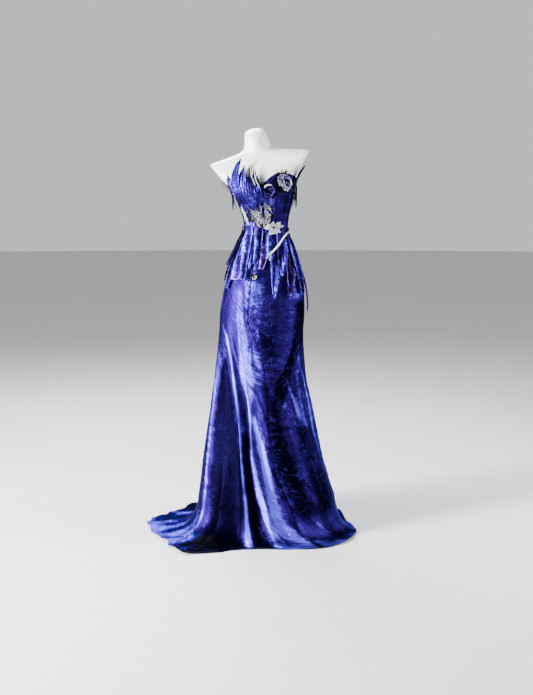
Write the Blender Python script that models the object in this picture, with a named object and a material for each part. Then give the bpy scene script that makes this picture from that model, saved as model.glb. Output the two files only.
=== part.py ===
"""A strapless trumpet gown of blue taffeta with a small train, worn by a headless and armless display form.

Metres, +Z up, +X to the viewer's right and -Y to the front. The origin is on the floor, under the form's pole.
"""

import math

import bpy
import numpy as np

for old in list(bpy.data.objects):
    bpy.data.objects.remove(old, do_unlink=True)

MM = 0.001
DEG = math.pi / 180

# Driving sizes
CLOTH = 2.0 * MM
TRIM = 1.5 * MM
SEAM_GAP = 0.3 * MM
FORM_GAP = 0.9 * MM
WAIST_HEIGHT = 1.17
FORM_FOOT = 0.80
SHIN_HEIGHT = 0.14

# Display form: the body's cross-sections. Roll lifts the viewer's right side, slope lifts the back.
BODY_COLUMNS = ("height", "centre_x", "centre_y", "roll", "half_width", "front", "back", "square", "slope")
BODY = (
    (0.800, -0.001, 0.004, 0.0, 0.146, 0.100, 0.110, 2.2, 0.0),
    (0.860, 0.001, 0.004, -0.5, 0.152, 0.104, 0.117, 2.2, 0.0),
    (0.930, 0.005, 0.004, -1.5, 0.153, 0.103, 0.118, 2.2, 0.0),
    (1.000, 0.010, 0.003, -3.0, 0.142, 0.098, 0.110, 2.2, 0.0),
    (1.070, 0.014, 0.001, -4.5, 0.118, 0.088, 0.096, 2.1, 0.0),
    (1.130, 0.016, -0.001, -5.0, 0.096, 0.077, 0.080, 2.1, 0.0),
    (1.190, 0.016, -0.003, -4.0, 0.083, 0.071, 0.070, 2.1, 0.0),
    (1.240, 0.015, -0.005, -1.5, 0.087, 0.074, 0.072, 2.1, 0.0),
    (1.290, 0.013, -0.007, 2.0, 0.101, 0.083, 0.078, 2.1, 0.0),
    (1.340, 0.010, -0.008, 5.5, 0.118, 0.092, 0.084, 2.1, 0.0),
    (1.380, 0.001, -0.006, 7.0, 0.137, 0.092, 0.089, 2.2, 0.0),
    (1.407, -0.005, -0.002, 7.5, 0.170, 0.084, 0.090, 2.4, 0.0),
    (1.430, -0.007, 0.003, 7.5, 0.206, 0.073, 0.084, 2.6, 0.0),
    (1.453, -0.007, 0.008, 8.2, 0.222, 0.062, 0.074, 2.7, 0.02),
    (1.470, -0.008, 0.011, 8.2, 0.198, 0.054, 0.064, 2.5, 0.04),
    (1.482, -0.010, 0.013, 8.2, 0.140, 0.050, 0.057, 2.2, 0.08),
    (1.492, -0.013, 0.014, 8.0, 0.088, 0.049, 0.053, 2.0, 0.12),
    (1.503, -0.015, 0.014, 8.0, 0.061, 0.049, 0.051, 2.0, 0.17),
    (1.521, -0.018, 0.012, 8.0, 0.0500, 0.050, 0.050, 2.0, 0.26),
    (1.543, -0.022, 0.009, 7.5, 0.0445, 0.050, 0.049, 2.0, 0.36),
    (1.562, -0.025, 0.007, 7.0, 0.0410, 0.048, 0.047, 2.0, 0.42),
)
ARM_CUT = {"armpit": (1.388, 0.139), "shoulder": (1.461, 0.188)}
BUST = {"angle": 34.0, "spread": 21.0, "height": 1.350, "tall": 0.040, "out": 15 * MM}

# Skirt: the outer face's cross-sections below the waist seam, before its folds
SKIRT = (
    (1.120, 0.016, -0.001, -5.0, 0.106, 0.106, 0.086, 0.089, 2.1),
    (1.040, 0.012, 0.002, -4.0, 0.137, 0.137, 0.102, 0.111, 2.1),
    (0.960, 0.006, 0.003, -2.0, 0.153, 0.158, 0.112, 0.125, 2.1),
    (0.880, 0.002, 0.003, -0.5, 0.165, 0.165, 0.117, 0.131, 2.1),
    (0.800, 0.000, 0.002, 0.0, 0.169, 0.163, 0.120, 0.136, 2.1),
    (0.700, 0.000, 0.000, 0.0, 0.178, 0.167, 0.127, 0.147, 2.1),
    (0.600, 0.000, 0.000, 0.0, 0.190, 0.178, 0.136, 0.164, 2.1),
    (0.500, 0.000, 0.000, 0.0, 0.205, 0.201, 0.148, 0.187, 2.0),
    (0.400, 0.000, 0.000, 0.0, 0.221, 0.221, 0.163, 0.219, 2.0),
    (0.300, 0.000, 0.000, 0.0, 0.238, 0.243, 0.183, 0.257, 2.0),
    (0.200, 0.000, 0.000, 0.0, 0.251, 0.272, 0.207, 0.298, 2.0),
    (0.140, 0.000, 0.000, 0.0, 0.260, 0.292, 0.224, 0.327, 2.0),
)
# Hem on the floor: the angle round from the front, and the distance from the pole
HEM = (
    (-180, 0.590), (-160, 0.545), (-140, 0.450), (-126, 0.425), (-114, 0.436), (-98, 0.466), (-84, 0.443),
    (-66, 0.420), (-50, 0.428), (-40, 0.440), (-32, 0.395), (-22, 0.325), (0, 0.288), (21, 0.308), (40, 0.352),
    (57, 0.376), (80, 0.380), (107, 0.366), (126, 0.405), (145, 0.480), (163, 0.555), (180, 0.590),
)

# Lines that run down the skirt: the angle at each height, and how far in the cloth lies on that line, in mm
LINE_HEIGHTS = (0.84, 0.70, 0.56, 0.32, 0.14, 0.0)
IN_HEIGHTS = (0.84, 0.56, 0.32, 0.14)
LINES = (
    # name, angles at LINE_HEIGHTS, mm in at IN_HEIGHTS, seam
    ("side_left", (-96, -97, -98, -98, -98, -98), (0, 3, 6, 8), True),
    ("left_ridge", (-80, -80, -79, -72, -67, -60), (0, 0, 0, 0), False),
    ("left_hollow", (-74, -67, -60, -56, -56, -50), (0, 14, 22, 26), False),
    ("left_rib", (-70, -62, -53, -48, -45, -40), (0, 17, 23, 12), False),
    ("left_valley", (-66, -56, -46, -37, -29, -24), (0, 14, 27, 30), False),
    ("hip_ridge", (-61, -48, -37, -25, -15, -8), (0, 0, 0, 0), False),
    ("hip_valley", (-55, -40, -30, -16, -6, 1), (0, 11, 20, 26), False),
    ("sweep_rise", (-49, -33, -23, -9, 5, 17), (0, 4, 3, 4), False),
    ("sweep_dip", (-39, -21, -12, 1, 15, 29), (0, 3, 7, 9), False),
    ("front_left_seam", (-25, 2, 7, 12, 27, 44), (0, -5, -8, -8), True),
    ("front_hollow", (8, 18, 20, 29, 41, 55), (0, 9, 8, 6), False),
    ("front_rib", (42, 36, 34, 45, 54, 63), (0, 8, 5, 3), False),
    ("front_right_seam", (72, 50, 47, 60, 67, 73), (0, 12, 12, 12), True),
    ("right_ridge", (79, 62, 58, 69, 74, 81), (0, -2, 0, 0), False),
    ("right_hollow", (85, 76, 72, 79, 82, 89), (0, 7, 8, 9), False),
    ("side_right", (96, 92, 90, 92, 94, 98), (0, 0, 0, 0), True),
    ("back_right_dip", (107, 105, 104, 105, 106, 108), (0, 8, 14, 20), False),
    ("back_right_rib", (120, 119, 118, 119, 119, 120), (0, 0, 0, 0), False),
    ("back_right_fold", (134, 134, 134, 134, 134, 134), (0, 9, 17, 24), False),
    ("back_right_ridge", (149, 149, 149, 149, 149, 149), (0, 0, 0, 0), False),
    ("back_right_inner", (164, 164, 164, 164, 164, 164), (0, 8, 18, 26), False),
    ("back_centre", (180, 180, 180, 180, 180, 180), (0, 0, 0, 0), True),
    ("back_left_inner", (197, 197, 197, 197, 197, 197), (0, 9, 19, 26), False),
    ("back_left_ridge", (213, 213, 213, 213, 213, 213), (0, 0, 0, 0), False),
    ("back_left_fold", (228, 228, 228, 228, 228, 228), (0, 8, 16, 22), False),
    ("back_left_rib", (241, 241, 241, 242, 242, 242), (0, 0, 0, 0), False),
    ("back_left_dip", (253, 253, 253, 252, 252, 252), (0, 7, 13, 18), False),
)
STEPS_PER_LINE = 2
SKIRT_HEIGHTS = (1.12, 1.05, 0.98, 0.91, 0.84, 0.77, 0.70, 0.63, 0.56, 0.48, 0.40, 0.32, 0.24, SHIN_HEIGHT)
FLOOR_STEPS = (0.25, 0.5, 0.75, 1.0)
RIPPLE = 14 * MM


def smooth(t):
    """0 to 1 with level ends."""
    t = np.clip(t, 0.0, 1.0)
    return t * t * (3 - 2 * t)


def read(table, at):
    """Every column of a table after the first, read at values of the first, on a smooth curve through the rows."""
    rows = np.array(sorted(row for row in table), float)
    key, values = rows[:, 0], rows[:, 1:]
    slopes = np.gradient(values, key, axis=0)
    at = np.clip(np.asarray(at, float), key[0], key[-1])
    low = np.clip(np.searchsorted(key, at, side="right") - 1, 0, len(key) - 2)
    span = key[low + 1] - key[low]
    t = ((at - key[low]) / span)[..., None]
    span = span[..., None]
    return (
        values[low] * (1 + 2 * t) * (1 - t) ** 2
        + values[low + 1] * t * t * (3 - 2 * t)
        + slopes[low] * span * t * (1 - t) ** 2
        - slopes[low + 1] * span * t * t * (1 - t)
    )


def ring_radius(angle, left, right, front, back, square):
    """Distance from the axis to a rounded ring with its own half-width on each side."""
    across = np.where(np.sin(angle) < 0, left, right)
    through = np.where(np.cos(angle) > 0, front, back)
    total = np.abs(np.sin(angle) / across) ** square + np.abs(np.cos(angle) / through) ** square
    return total ** (-1 / square)


def place(angle, radius, height, centre_x, centre_y, roll, slope):
    """Point of a ring whose plane is rolled about Y and sloped towards the back."""
    across = radius * np.sin(angle)
    through = -radius * np.cos(angle)
    x = centre_x + across * np.cos(roll * DEG)
    z = height + across * np.sin(roll * DEG) + slope * through
    return np.stack(np.broadcast_arrays(x, centre_y + through, z), axis=-1)


def bust(angle, height):
    """How far the bust stands out at an angle and a height."""
    from_front = np.abs((angle / DEG + 180) % 360 - 180)
    round_front = np.exp(-(((from_front - BUST["angle"]) / BUST["spread"]) ** 2))
    return BUST["out"] * round_front * np.exp(-(((height - BUST["height"]) / BUST["tall"]) ** 2))


def skin(angle, height):
    """Point of the display form's skin."""
    angle, height = np.broadcast_arrays(np.asarray(angle, float), np.asarray(height, float))
    centre_x, centre_y, roll, half_width, front, back, square, slope = np.moveaxis(read(BODY, height), -1, 0)
    radius = ring_radius(angle, half_width, half_width, front, back, square) + bust(angle, height)
    (low, low_cut), (high, high_cut) = ARM_CUT["armpit"], ARM_CUT["shoulder"]
    cut = low_cut + (high_cut - low_cut) * (height - low) / (high - low)
    cut = np.where(height < low, 1.0, cut)
    over = np.maximum(np.abs(radius * np.sin(angle)) / cut, 1.0)
    flat = place(angle, radius, height, centre_x, centre_y, roll, slope)
    across = radius * np.sin(angle)
    pulled = (across / over - across) * np.cos(roll * DEG)
    lowered = (across / over - across) * np.sin(roll * DEG)
    return flat + np.stack([pulled, np.zeros_like(pulled), lowered], axis=-1)


def skirt_rings():
    """The skirt's sections with the waist seam's own on top, where they meet the bodice."""
    seam = read(BODY, WAIST_HEIGHT)
    out = CLOTH + FORM_GAP
    centre_x, centre_y, roll, half_width, front, back, square, _ = seam
    side = half_width + out
    top = (WAIST_HEIGHT, centre_x, centre_y, roll, side, side, front + out, back + out, square)
    return SKIRT + (top,)


SKIRT_RINGS = skirt_rings()


def gown(angle, height):
    """Point of the gown's outer face above the knee, without its folds."""
    angle, height = np.broadcast_arrays(np.asarray(angle, float), np.asarray(height, float))
    centre_x, centre_y, roll, left, right, front, back, square = np.moveaxis(read(SKIRT_RINGS, height), -1, 0)
    radius = ring_radius(angle, left, right, front, back, square)
    below = place(angle, radius, height, centre_x, centre_y, roll, 0.0)
    above = moved_out(skin, angle, np.maximum(height, WAIST_HEIGHT), CLOTH + FORM_GAP)
    return np.where((height >= WAIST_HEIGHT)[..., None], above, below)


def normals(surface, first, second, step_first=0.01, step_second=0.002):
    """Outward normals of a surface of two parameters, the first running round and the second up."""
    round_way = surface(first + step_first, second) - surface(first - step_first, second)
    up_way = surface(first, second + step_second) - surface(first, second - step_second)
    cross = np.cross(round_way, up_way)
    return cross / np.linalg.norm(cross, axis=-1, keepdims=True)


def moved_out(surface, first, second, out):
    """Surface points moved out along their normals."""
    return surface(first, second) + normals(surface, first, second) * np.asarray(out)[..., None]


def wall_object(name, outer, inner, material, chart=None, wrap=False):
    """A closed wall between two grids of points. A chart drops its "." cells, and wrap closes columns into a ring."""
    rows, columns = outer.shape[:2]
    count = rows * columns
    points = np.concatenate([outer.reshape(-1, 3), inner.reshape(-1, 3)])
    faces = []
    for row in range(rows - 1):
        for column in range(columns if wrap else columns - 1):
            if chart and chart[row][column] == ".":
                continue
            beside = (column + 1) % columns
            low, high = row * columns, (row + 1) * columns
            faces.append((low + column, low + beside, high + beside, high + column))
    sides = {(face[k], face[(k + 1) % 4]) for face in faces for k in range(4)}
    rims = []
    for a, b in sorted(sides):
        if (b, a) in sides:
            continue
        if a < b:
            rims += [(b, a, b + count), (a, a + count, b + count)]
        else:
            rims += [(b, a, a + count), (b, a + count, b + count)]
    faces += [tuple(face[k] + count for k in (0, 3, 2, 1)) for face in faces]
    return mesh_object(name, points, faces + rims, material)


def mesh_object(name, points, faces, material, smooth_angle=50):
    """A mesh object with its material, shaded smooth up to an angle."""
    mesh = bpy.data.meshes.new(name)
    mesh.from_pydata([tuple(p) for p in points], [], [tuple(int(i) for i in f) for f in faces])
    mesh.update()
    mesh.shade_smooth()
    mesh.set_sharp_from_angle(angle=smooth_angle * DEG)
    mesh.materials.append(material)
    made = bpy.data.objects.new(name, mesh)
    bpy.context.scene.collection.objects.link(made)
    return made


def finish(name, colour, roughness, metallic=0.0):
    """A material with a colour, a roughness and a metallic value."""
    made = bpy.data.materials.new(name)
    made.use_nodes = True
    shader = made.node_tree.nodes["Principled BSDF"]
    shader.inputs["Base Color"].default_value = (*colour, 1.0)
    shader.inputs["Roughness"].default_value = roughness
    shader.inputs["Metallic"].default_value = metallic
    return made


BLUE = finish("blue_taffeta", (0.045, 0.03, 0.32), 0.35)
VIOLET = finish("violet_taffeta", (0.10, 0.06, 0.36), 0.38)
SILVER = finish("silver_silk", (0.72, 0.72, 0.68), 0.5)
BLACK = finish("black_net", (0.01, 0.01, 0.015), 0.7)
WHITE = finish("form_skin", (0.86, 0.85, 0.82), 0.4)
STEEL = finish("stand_steel", (0.55, 0.55, 0.57), 0.3, 1.0)

# Display form
FORM_ROUND = 40
TRUNK_HEIGHTS = (0.80, 0.87, 0.94, 1.01, 1.08, 1.14)
SHOULDER_HEIGHTS = (1.407, 1.423, 1.438, 1.452, 1.463, 1.473, 1.482, 1.491, 1.504, 1.525, 1.556)
BODICE_ROWS = 9


def form_torso():
    """Neck, shoulders and trunk of the display form, closed below the hips and at the neck."""
    around = np.arange(FORM_ROUND) * 2 * math.pi / FORM_ROUND
    edge = bodice_top(around)
    share = np.array([0.33, 0.67])[:, None]
    chest = edge + share * (SHOULDER_HEIGHTS[0] - edge)
    level = [np.tile(np.array(rows)[:, None], FORM_ROUND) for rows in (TRUNK_HEIGHTS, SHOULDER_HEIGHTS)]
    heights = np.concatenate([level[0], bodice_heights(around), chest, level[1]])
    rings = skin(around[None, :], heights)
    top = rings[-1]
    middle = top.mean(axis=0)
    cap = middle + (top - middle) * 0.86 + np.array([0.0, -0.0012, 0.004])
    rings = np.concatenate([rings, cap[None]])
    rows = len(rings)
    index = np.arange(rows * FORM_ROUND).reshape(rows, FORM_ROUND)
    index = np.hstack([index, index[:, :1]])
    a, b, c, d = index[:-1, :-1], index[:-1, 1:], index[1:, 1:], index[1:, :-1]
    faces = [tuple(f) for f in np.stack([a, b, c, d], axis=-1).reshape(-1, 4)]
    faces.append(tuple(index[-1, :-1]))
    faces.append(tuple(index[0, :-1][::-1]))
    return mesh_object("form_torso", rings.reshape(-1, 3), faces, WHITE)


# Stand
POLE_RADIUS = 12.5 * MM
BASE_RADIUS = 0.135
BASE_THICK = 8 * MM
COLLAR = {"radius": 24 * MM, "height": 30 * MM}
STAND_ROUND = 24


def turned(name, profile, material):
    """A closed solid turned about the pole's axis from radius and height pairs, bottom to top."""
    around = np.arange(STAND_ROUND) * 2 * math.pi / STAND_ROUND
    profile = np.array(profile)
    x = profile[:, :1] * np.cos(around)
    y = profile[:, :1] * np.sin(around)
    points = np.stack([x, y, np.broadcast_to(profile[:, 1:], x.shape)], axis=-1)
    rows = len(profile)
    index = np.arange(rows * STAND_ROUND).reshape(rows, STAND_ROUND)
    index = np.hstack([index, index[:, :1]])
    a, b, c, d = index[:-1, :-1], index[:-1, 1:], index[1:, 1:], index[1:, :-1]
    faces = [tuple(f) for f in np.stack([a, b, c, d], axis=-1).reshape(-1, 4)]
    faces.append(tuple(index[-1, :-1]))
    faces.append(tuple(index[0, :-1][::-1]))
    return mesh_object(name, points.reshape(-1, 3), faces, material, 30)


def stand():
    """Round floor plate with a collar, and the pole that carries the form."""
    collar_top = BASE_THICK + COLLAR["height"]
    plate = [
        (BASE_RADIUS - 2 * MM, 0.0),
        (BASE_RADIUS, 2 * MM),
        (BASE_RADIUS, BASE_THICK - 2 * MM),
        (BASE_RADIUS - 2 * MM, BASE_THICK),
        (COLLAR["radius"], BASE_THICK),
        (COLLAR["radius"], collar_top - 3 * MM),
        (COLLAR["radius"] - 3 * MM, collar_top),
    ]
    turned("form_base", plate, STEEL)
    foot, head = collar_top + SEAM_GAP, FORM_FOOT - SEAM_GAP
    turned("form_pole", [(POLE_RADIUS, foot), (POLE_RADIUS, head)], STEEL)


# Bodice
BODICE_TOP = (
    (-180, 1.322), (-140, 1.334), (-105, 1.360), (-80, 1.374), (-55, 1.392), (-36, 1.398), (-16, 1.384),
    (0, 1.368), (16, 1.384), (36, 1.398), (55, 1.392), (80, 1.374), (105, 1.360), (140, 1.334), (180, 1.322),
)
BODICE_PANELS = (
    # name, first angle, last angle
    ("bodice_front", -27, 27),
    ("bodice_side_right", 27, 81),
    ("bodice_back_right", 81, 180),
    ("bodice_back_left", 180, 279),
    ("bodice_side_left", 279, 333),
)


def bodice_top(angle):
    """Height of the bodice's sweetheart edge at an angle."""
    degrees = (np.asarray(angle) / DEG + 180) % 360 - 180
    return read(BODICE_TOP, degrees)[..., 0]


def bodice_heights(angle):
    """Heights of the bodice's rows at each angle, from the waist seam to the sweetheart edge."""
    low = WAIST_HEIGHT + SEAM_GAP / 2
    return low + np.linspace(0, 1, BODICE_ROWS)[:, None] * (bodice_top(angle) - low)


def bodice():
    """Boned panels of the strapless bodice, from the waist seam to the sweetheart edge."""
    for name, start, end in BODICE_PANELS:
        columns = round((end - start) * FORM_ROUND / 360)
        angles = np.linspace(start, end, columns + 1) * DEG
        heights = bodice_heights(angles)
        around = np.broadcast_to(angles, heights.shape).copy()
        width = np.linalg.norm(gown(around, heights + 0)[:, 0, :2], axis=-1)
        around[:, 0] += SEAM_GAP / 2 / width
        around[:, -1] -= SEAM_GAP / 2 / width
        outer = moved_out(skin, around, heights, CLOTH + FORM_GAP)
        inner = moved_out(skin, around, heights, FORM_GAP)
        wall_object(name, outer, inner, BLUE)


# Skirt


def hem_radius(angle):
    """Distance from the pole to the hem on the floor."""
    degrees = (np.asarray(angle) / DEG + 180) % 360 - 180
    return read(HEM, degrees)[..., 0]


def line_values(line, height):
    """Angle and inward depth of the skirt's lines, by line number with fractions, at a height."""
    count = len(LINES)
    angles = np.array([row[1] for row in LINES], float)
    depths = np.array([row[2] for row in LINES], float)
    low = np.floor(line).astype(int)
    t = line - low
    first, second = low % count, (low + 1) % count
    turns = (low // count) * 360.0, ((low + 1) // count) * 360.0
    angle_rows = [(h, *angles[:, k]) for k, h in enumerate(LINE_HEIGHTS)]
    depth_rows = [(h, *depths[:, k]) for k, h in enumerate(IN_HEIGHTS)]
    height = np.broadcast_to(height, np.shape(line))
    angle_at = read(angle_rows, height)
    depth_at = read(depth_rows, height)
    pick = lambda values, which: np.take_along_axis(values, which[..., None], axis=-1)[..., 0]
    angle = (pick(angle_at, first) + turns[0]) * (1 - t) + (pick(angle_at, second) + turns[1]) * t
    ease = smooth(t)
    depth = pick(depth_at, first) * (1 - ease) + pick(depth_at, second) * ease
    return angle * DEG, depth * MM


def skirt(line, station):
    """Point of the skirt's outer face. Station is the height down to the shin, then 0 down to -1 at the hem."""
    line, station = np.broadcast_arrays(np.asarray(line, float), np.asarray(station, float))
    on_floor = np.clip(-station, 0.0, 1.0)
    height = np.where(station > 0, station, 0.0)
    reading = np.where(station > SHIN_HEIGHT, height, SHIN_HEIGHT)
    line_height = np.where(station > SHIN_HEIGHT, height, SHIN_HEIGHT * (1 - on_floor))
    angle, depth = line_values(line, line_height)
    depth = np.where(reading > 0.84, 0.0, depth)
    centre_x, centre_y, roll, left, right, front, back, square = np.moveaxis(read(SKIRT_RINGS, reading), -1, 0)
    radius = ring_radius(angle, left, right, front, back, square) - depth
    column = place(angle, radius, reading, centre_x, centre_y, roll, 0.0)
    hem = hem_radius(angle) - depth * np.clip(1 - (hem_radius(angle) - radius) / 0.12, 0, 1) * 0.9
    spread = np.clip((hem - radius) / 0.14, 0.0, 1.0)
    reach = radius + (hem - radius) * on_floor ** (1 + 0.5 * spread)
    drop = SHIN_HEIGHT * (1 - on_floor) ** (1 + 2.2 * spread)
    flat = on_floor * spread
    height_of_ridge = RIPPLE * flat * (1 - 0.6 * on_floor) * (1 - np.clip(depth / (26 * MM), 0, 1))
    x = reach * np.sin(angle)
    y = -reach * np.cos(angle)
    floor = np.stack([x, y, drop + height_of_ridge], axis=-1)
    return np.where((station > SHIN_HEIGHT)[..., None], column, floor)


GORES = (
    ("skirt_front", "front_left_seam", "front_right_seam"),
    ("skirt_right_front", "front_right_seam", "side_right"),
    ("skirt_back_right", "side_right", "back_centre"),
    ("skirt_back_left", "back_centre", "side_left"),
    ("skirt_left_front", "side_left", "front_left_seam"),
)


def skirt_gores():
    """Five gores of the skirt, from the waist seam to the hem and its small train."""
    names = [row[0] for row in LINES]
    stations = [WAIST_HEIGHT - SEAM_GAP / 2, *SKIRT_HEIGHTS] + [-step for step in FLOOR_STEPS]
    stations = np.array(stations)[::-1]
    for name, start, end in GORES:
        first, last = names.index(start), names.index(end)
        if last <= first:
            last += len(names)
        step = 1 / STEPS_PER_LINE
        lines = np.linspace(first - step, last + step, (last - first) * STEPS_PER_LINE + 3)
        line, station = np.meshgrid(lines, stations)
        outer = skirt(line, station)
        along = np.gradient(outer, axis=1)
        down = np.gradient(outer, axis=0)
        normal = np.cross(along, down)
        normal /= np.linalg.norm(normal, axis=-1, keepdims=True)
        tangent = along / np.linalg.norm(along, axis=-1, keepdims=True)
        outer, normal, tangent = outer[:, 1:-1], normal[:, 1:-1], tangent[:, 1:-1]
        inner = outer - normal * CLOTH
        lift = np.maximum(-inner[..., 2], 0.0)
        outer[..., 2] += lift
        inner[..., 2] += lift
        hem_rise = inner[0, :, 2].copy()
        outer[0, :, 2] -= hem_rise
        inner[0, :, 2] = 0.0
        for grid in (outer, inner):
            grid[:, 0] += tangent[:, 0] * SEAM_GAP / 2
            grid[:, -1] -= tangent[:, -1] * SEAM_GAP / 2
        wall_object(name, outer, inner, BLUE)


# Trimming, laid on the gown in layers


def beside(angle, height, sideways, upwards):
    """Angle and height of the place that many metres to the right of and above a place on the gown."""
    step = 0.02
    reach = np.linalg.norm(gown(angle + step, height) - gown(angle - step, height), axis=-1) / (2 * step)
    return angle + sideways / reach, height + upwards


def on_gown(angle, height, out):
    """Point of the gown's outer face, moved out."""
    return moved_out(gown, angle, height, out)


def leaf(name, root, tip, bend, widths, crease, material, rows=6, columns=4):
    """A strip of cloth from root to tip, each an angle, a height and the mm it stands out, with a crease along it.

    Widths are the half widths in mm at the root, the belly and the tip. Bend moves the middle sideways.
    """
    t = np.linspace(0, 1, rows)[:, None]
    across = np.linspace(-1, 1, columns + 1)[None, :]
    start, end = np.array(root, float), np.array(tip, float)
    angle, height, out = (start[k] * (1 - t) + end[k] * t for k in range(3))
    angle = angle * DEG
    half = (widths[0] * (1 - t) ** 2 + widths[2] * t**2 + (4 * widths[1] - widths[0] - widths[2]) * t * (1 - t)) * MM
    lean = np.arctan2((end[0] - start[0]) * DEG * 0.12, abs(end[1] - start[1]))
    sideways = half * across * np.cos(lean) + bend * MM * np.sin(math.pi * t)
    upwards = half * across * np.sin(lean) * np.sign(end[1] - start[1]) * -1
    around, level = beside(angle, height, sideways, upwards)
    length = np.hypot((end[0] - start[0]) * DEG * 0.12, end[1] - start[1])
    ridge = crease * np.clip(t * length / 0.08, 0, 1) * np.cos(across * math.pi) * 0.5
    lift = (out + ridge + abs(crease) * 0.5 * np.clip(t * length / 0.08, 0, 1)) * MM
    inner = on_gown(around, level, lift)
    outer = on_gown(around, level, lift + TRIM)
    if end[1] < start[1]:
        outer, inner = outer[::-1], inner[::-1]
    wall_object(name, outer, inner, material)


def rosette(name, centre, radius, turns, tall, material, steps=26):
    """A ribbon rolled into a spiral that stands on its edge and flares, about a centre angle, height and out."""
    angle, height, out = centre
    t = np.linspace(0, 1, steps)[None, :]
    turn = t * turns * 2 * math.pi
    reach = (0.16 + 0.84 * t) * radius * MM
    base = out * MM
    top = (out + tall * (1 - 0.45 * t) * (1 + 0.16 * np.sin(3.1 * turn))) * MM
    levels = np.array([0.0, 1.0])[:, None]
    lean = 1 + 0.14 * levels
    sheets = []
    for side in (0.5, -0.5):
        spread = reach * lean + side * TRIM
        around, level = beside(angle * DEG, height, spread * np.sin(turn), -spread * np.cos(turn))
        sheets.append(on_gown(around, level, base + (top - base) * levels))
    wall_object(name, sheets[0], sheets[1], material)


def ruff(name, centre, radius, points, material):
    """A flat ring of spikes round a rosette."""
    angle, height, out = centre
    turn = np.arange(points * 2) * math.pi / points
    reach = np.stack([0.2 + 0 * turn, 0.76 + 0 * turn, 0.92 + 0.1 * np.sin(2.3 * turn)]) * radius * MM
    reach[2, ::2] *= 1.35
    reach[2, 1::2] *= 0.82
    around, level = beside(angle * DEG, height, reach * np.sin(turn), -reach * np.cos(turn))
    lift = np.full(reach.shape, out * MM)
    inner = on_gown(around, level, lift)[::-1]
    outer = on_gown(around, level, lift + TRIM)[::-1]
    wall_object(name, outer, inner, material, wrap=True)


def patch(name, chart, corner, across, up, out, material, sway=0.0, flare=0.0, bar=1.0):
    """A charted piece, its rows listed from the bottom, from its low corner's angle and height.

    Even columns and odd rows are bars, as wide against the others as bar says.
    """
    rows = np.where(np.arange(len(chart)) % 2 == 1, bar, 1.0)
    columns = np.where(np.arange(len(chart[0])) % 2 == 0, bar, 1.0)
    ends = [np.concatenate([[0.0], np.cumsum(sizes)]) / sizes.sum() for sizes in (rows, columns)]
    v, u = np.meshgrid(*ends, indexing="ij")
    wave = sway * MM * (np.sin(6.3 * v + 2.1 * u) + 0.6 * np.sin(9.7 * u + 1.3))
    sideways = (u + 0.1 * np.sin(7 * v)) * across * MM + wave
    upwards = v * up * MM + wave * 0.8
    around, level = beside(corner[0] * DEG, corner[1], sideways, upwards)
    lift = (out + flare * (1 - v)) * MM
    wall_object(name, on_gown(around, level, lift + TRIM), on_gown(around, level, lift), material, chart)


def band(name, path, radius, material, sides=6, steps=14):
    """A round braid through rows of angle, height and mm out."""
    rows = [(k / (len(path) - 1), *row) for k, row in enumerate(path)]
    t = np.linspace(0, 1, steps)
    angle, height, out = np.moveaxis(read(rows, t), -1, 0)
    middle = on_gown(angle * DEG, height, out * MM)
    along = np.gradient(middle, axis=0)
    along /= np.linalg.norm(along, axis=-1, keepdims=True)
    away = normals(gown, angle * DEG, height)
    side = np.cross(along, away)
    side /= np.linalg.norm(side, axis=-1, keepdims=True)
    away = np.cross(side, along)
    turn = np.arange(sides) * 2 * math.pi / sides
    ring = np.cos(turn)[:, None] * side[:, None] + np.sin(turn)[:, None] * away[:, None]
    points = (middle[:, None] + ring * radius * MM).reshape(-1, 3)
    faces = []
    for row in range(steps - 1):
        for k in range(sides):
            a, b = row * sides + k, row * sides + (k + 1) % sides
            faces.append((b, a, a + sides, b + sides))
    faces.append(tuple(range(sides)))
    faces.append(tuple(reversed(range((steps - 1) * sides, steps * sides))))
    mesh_object(name, points, faces, material)


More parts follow.
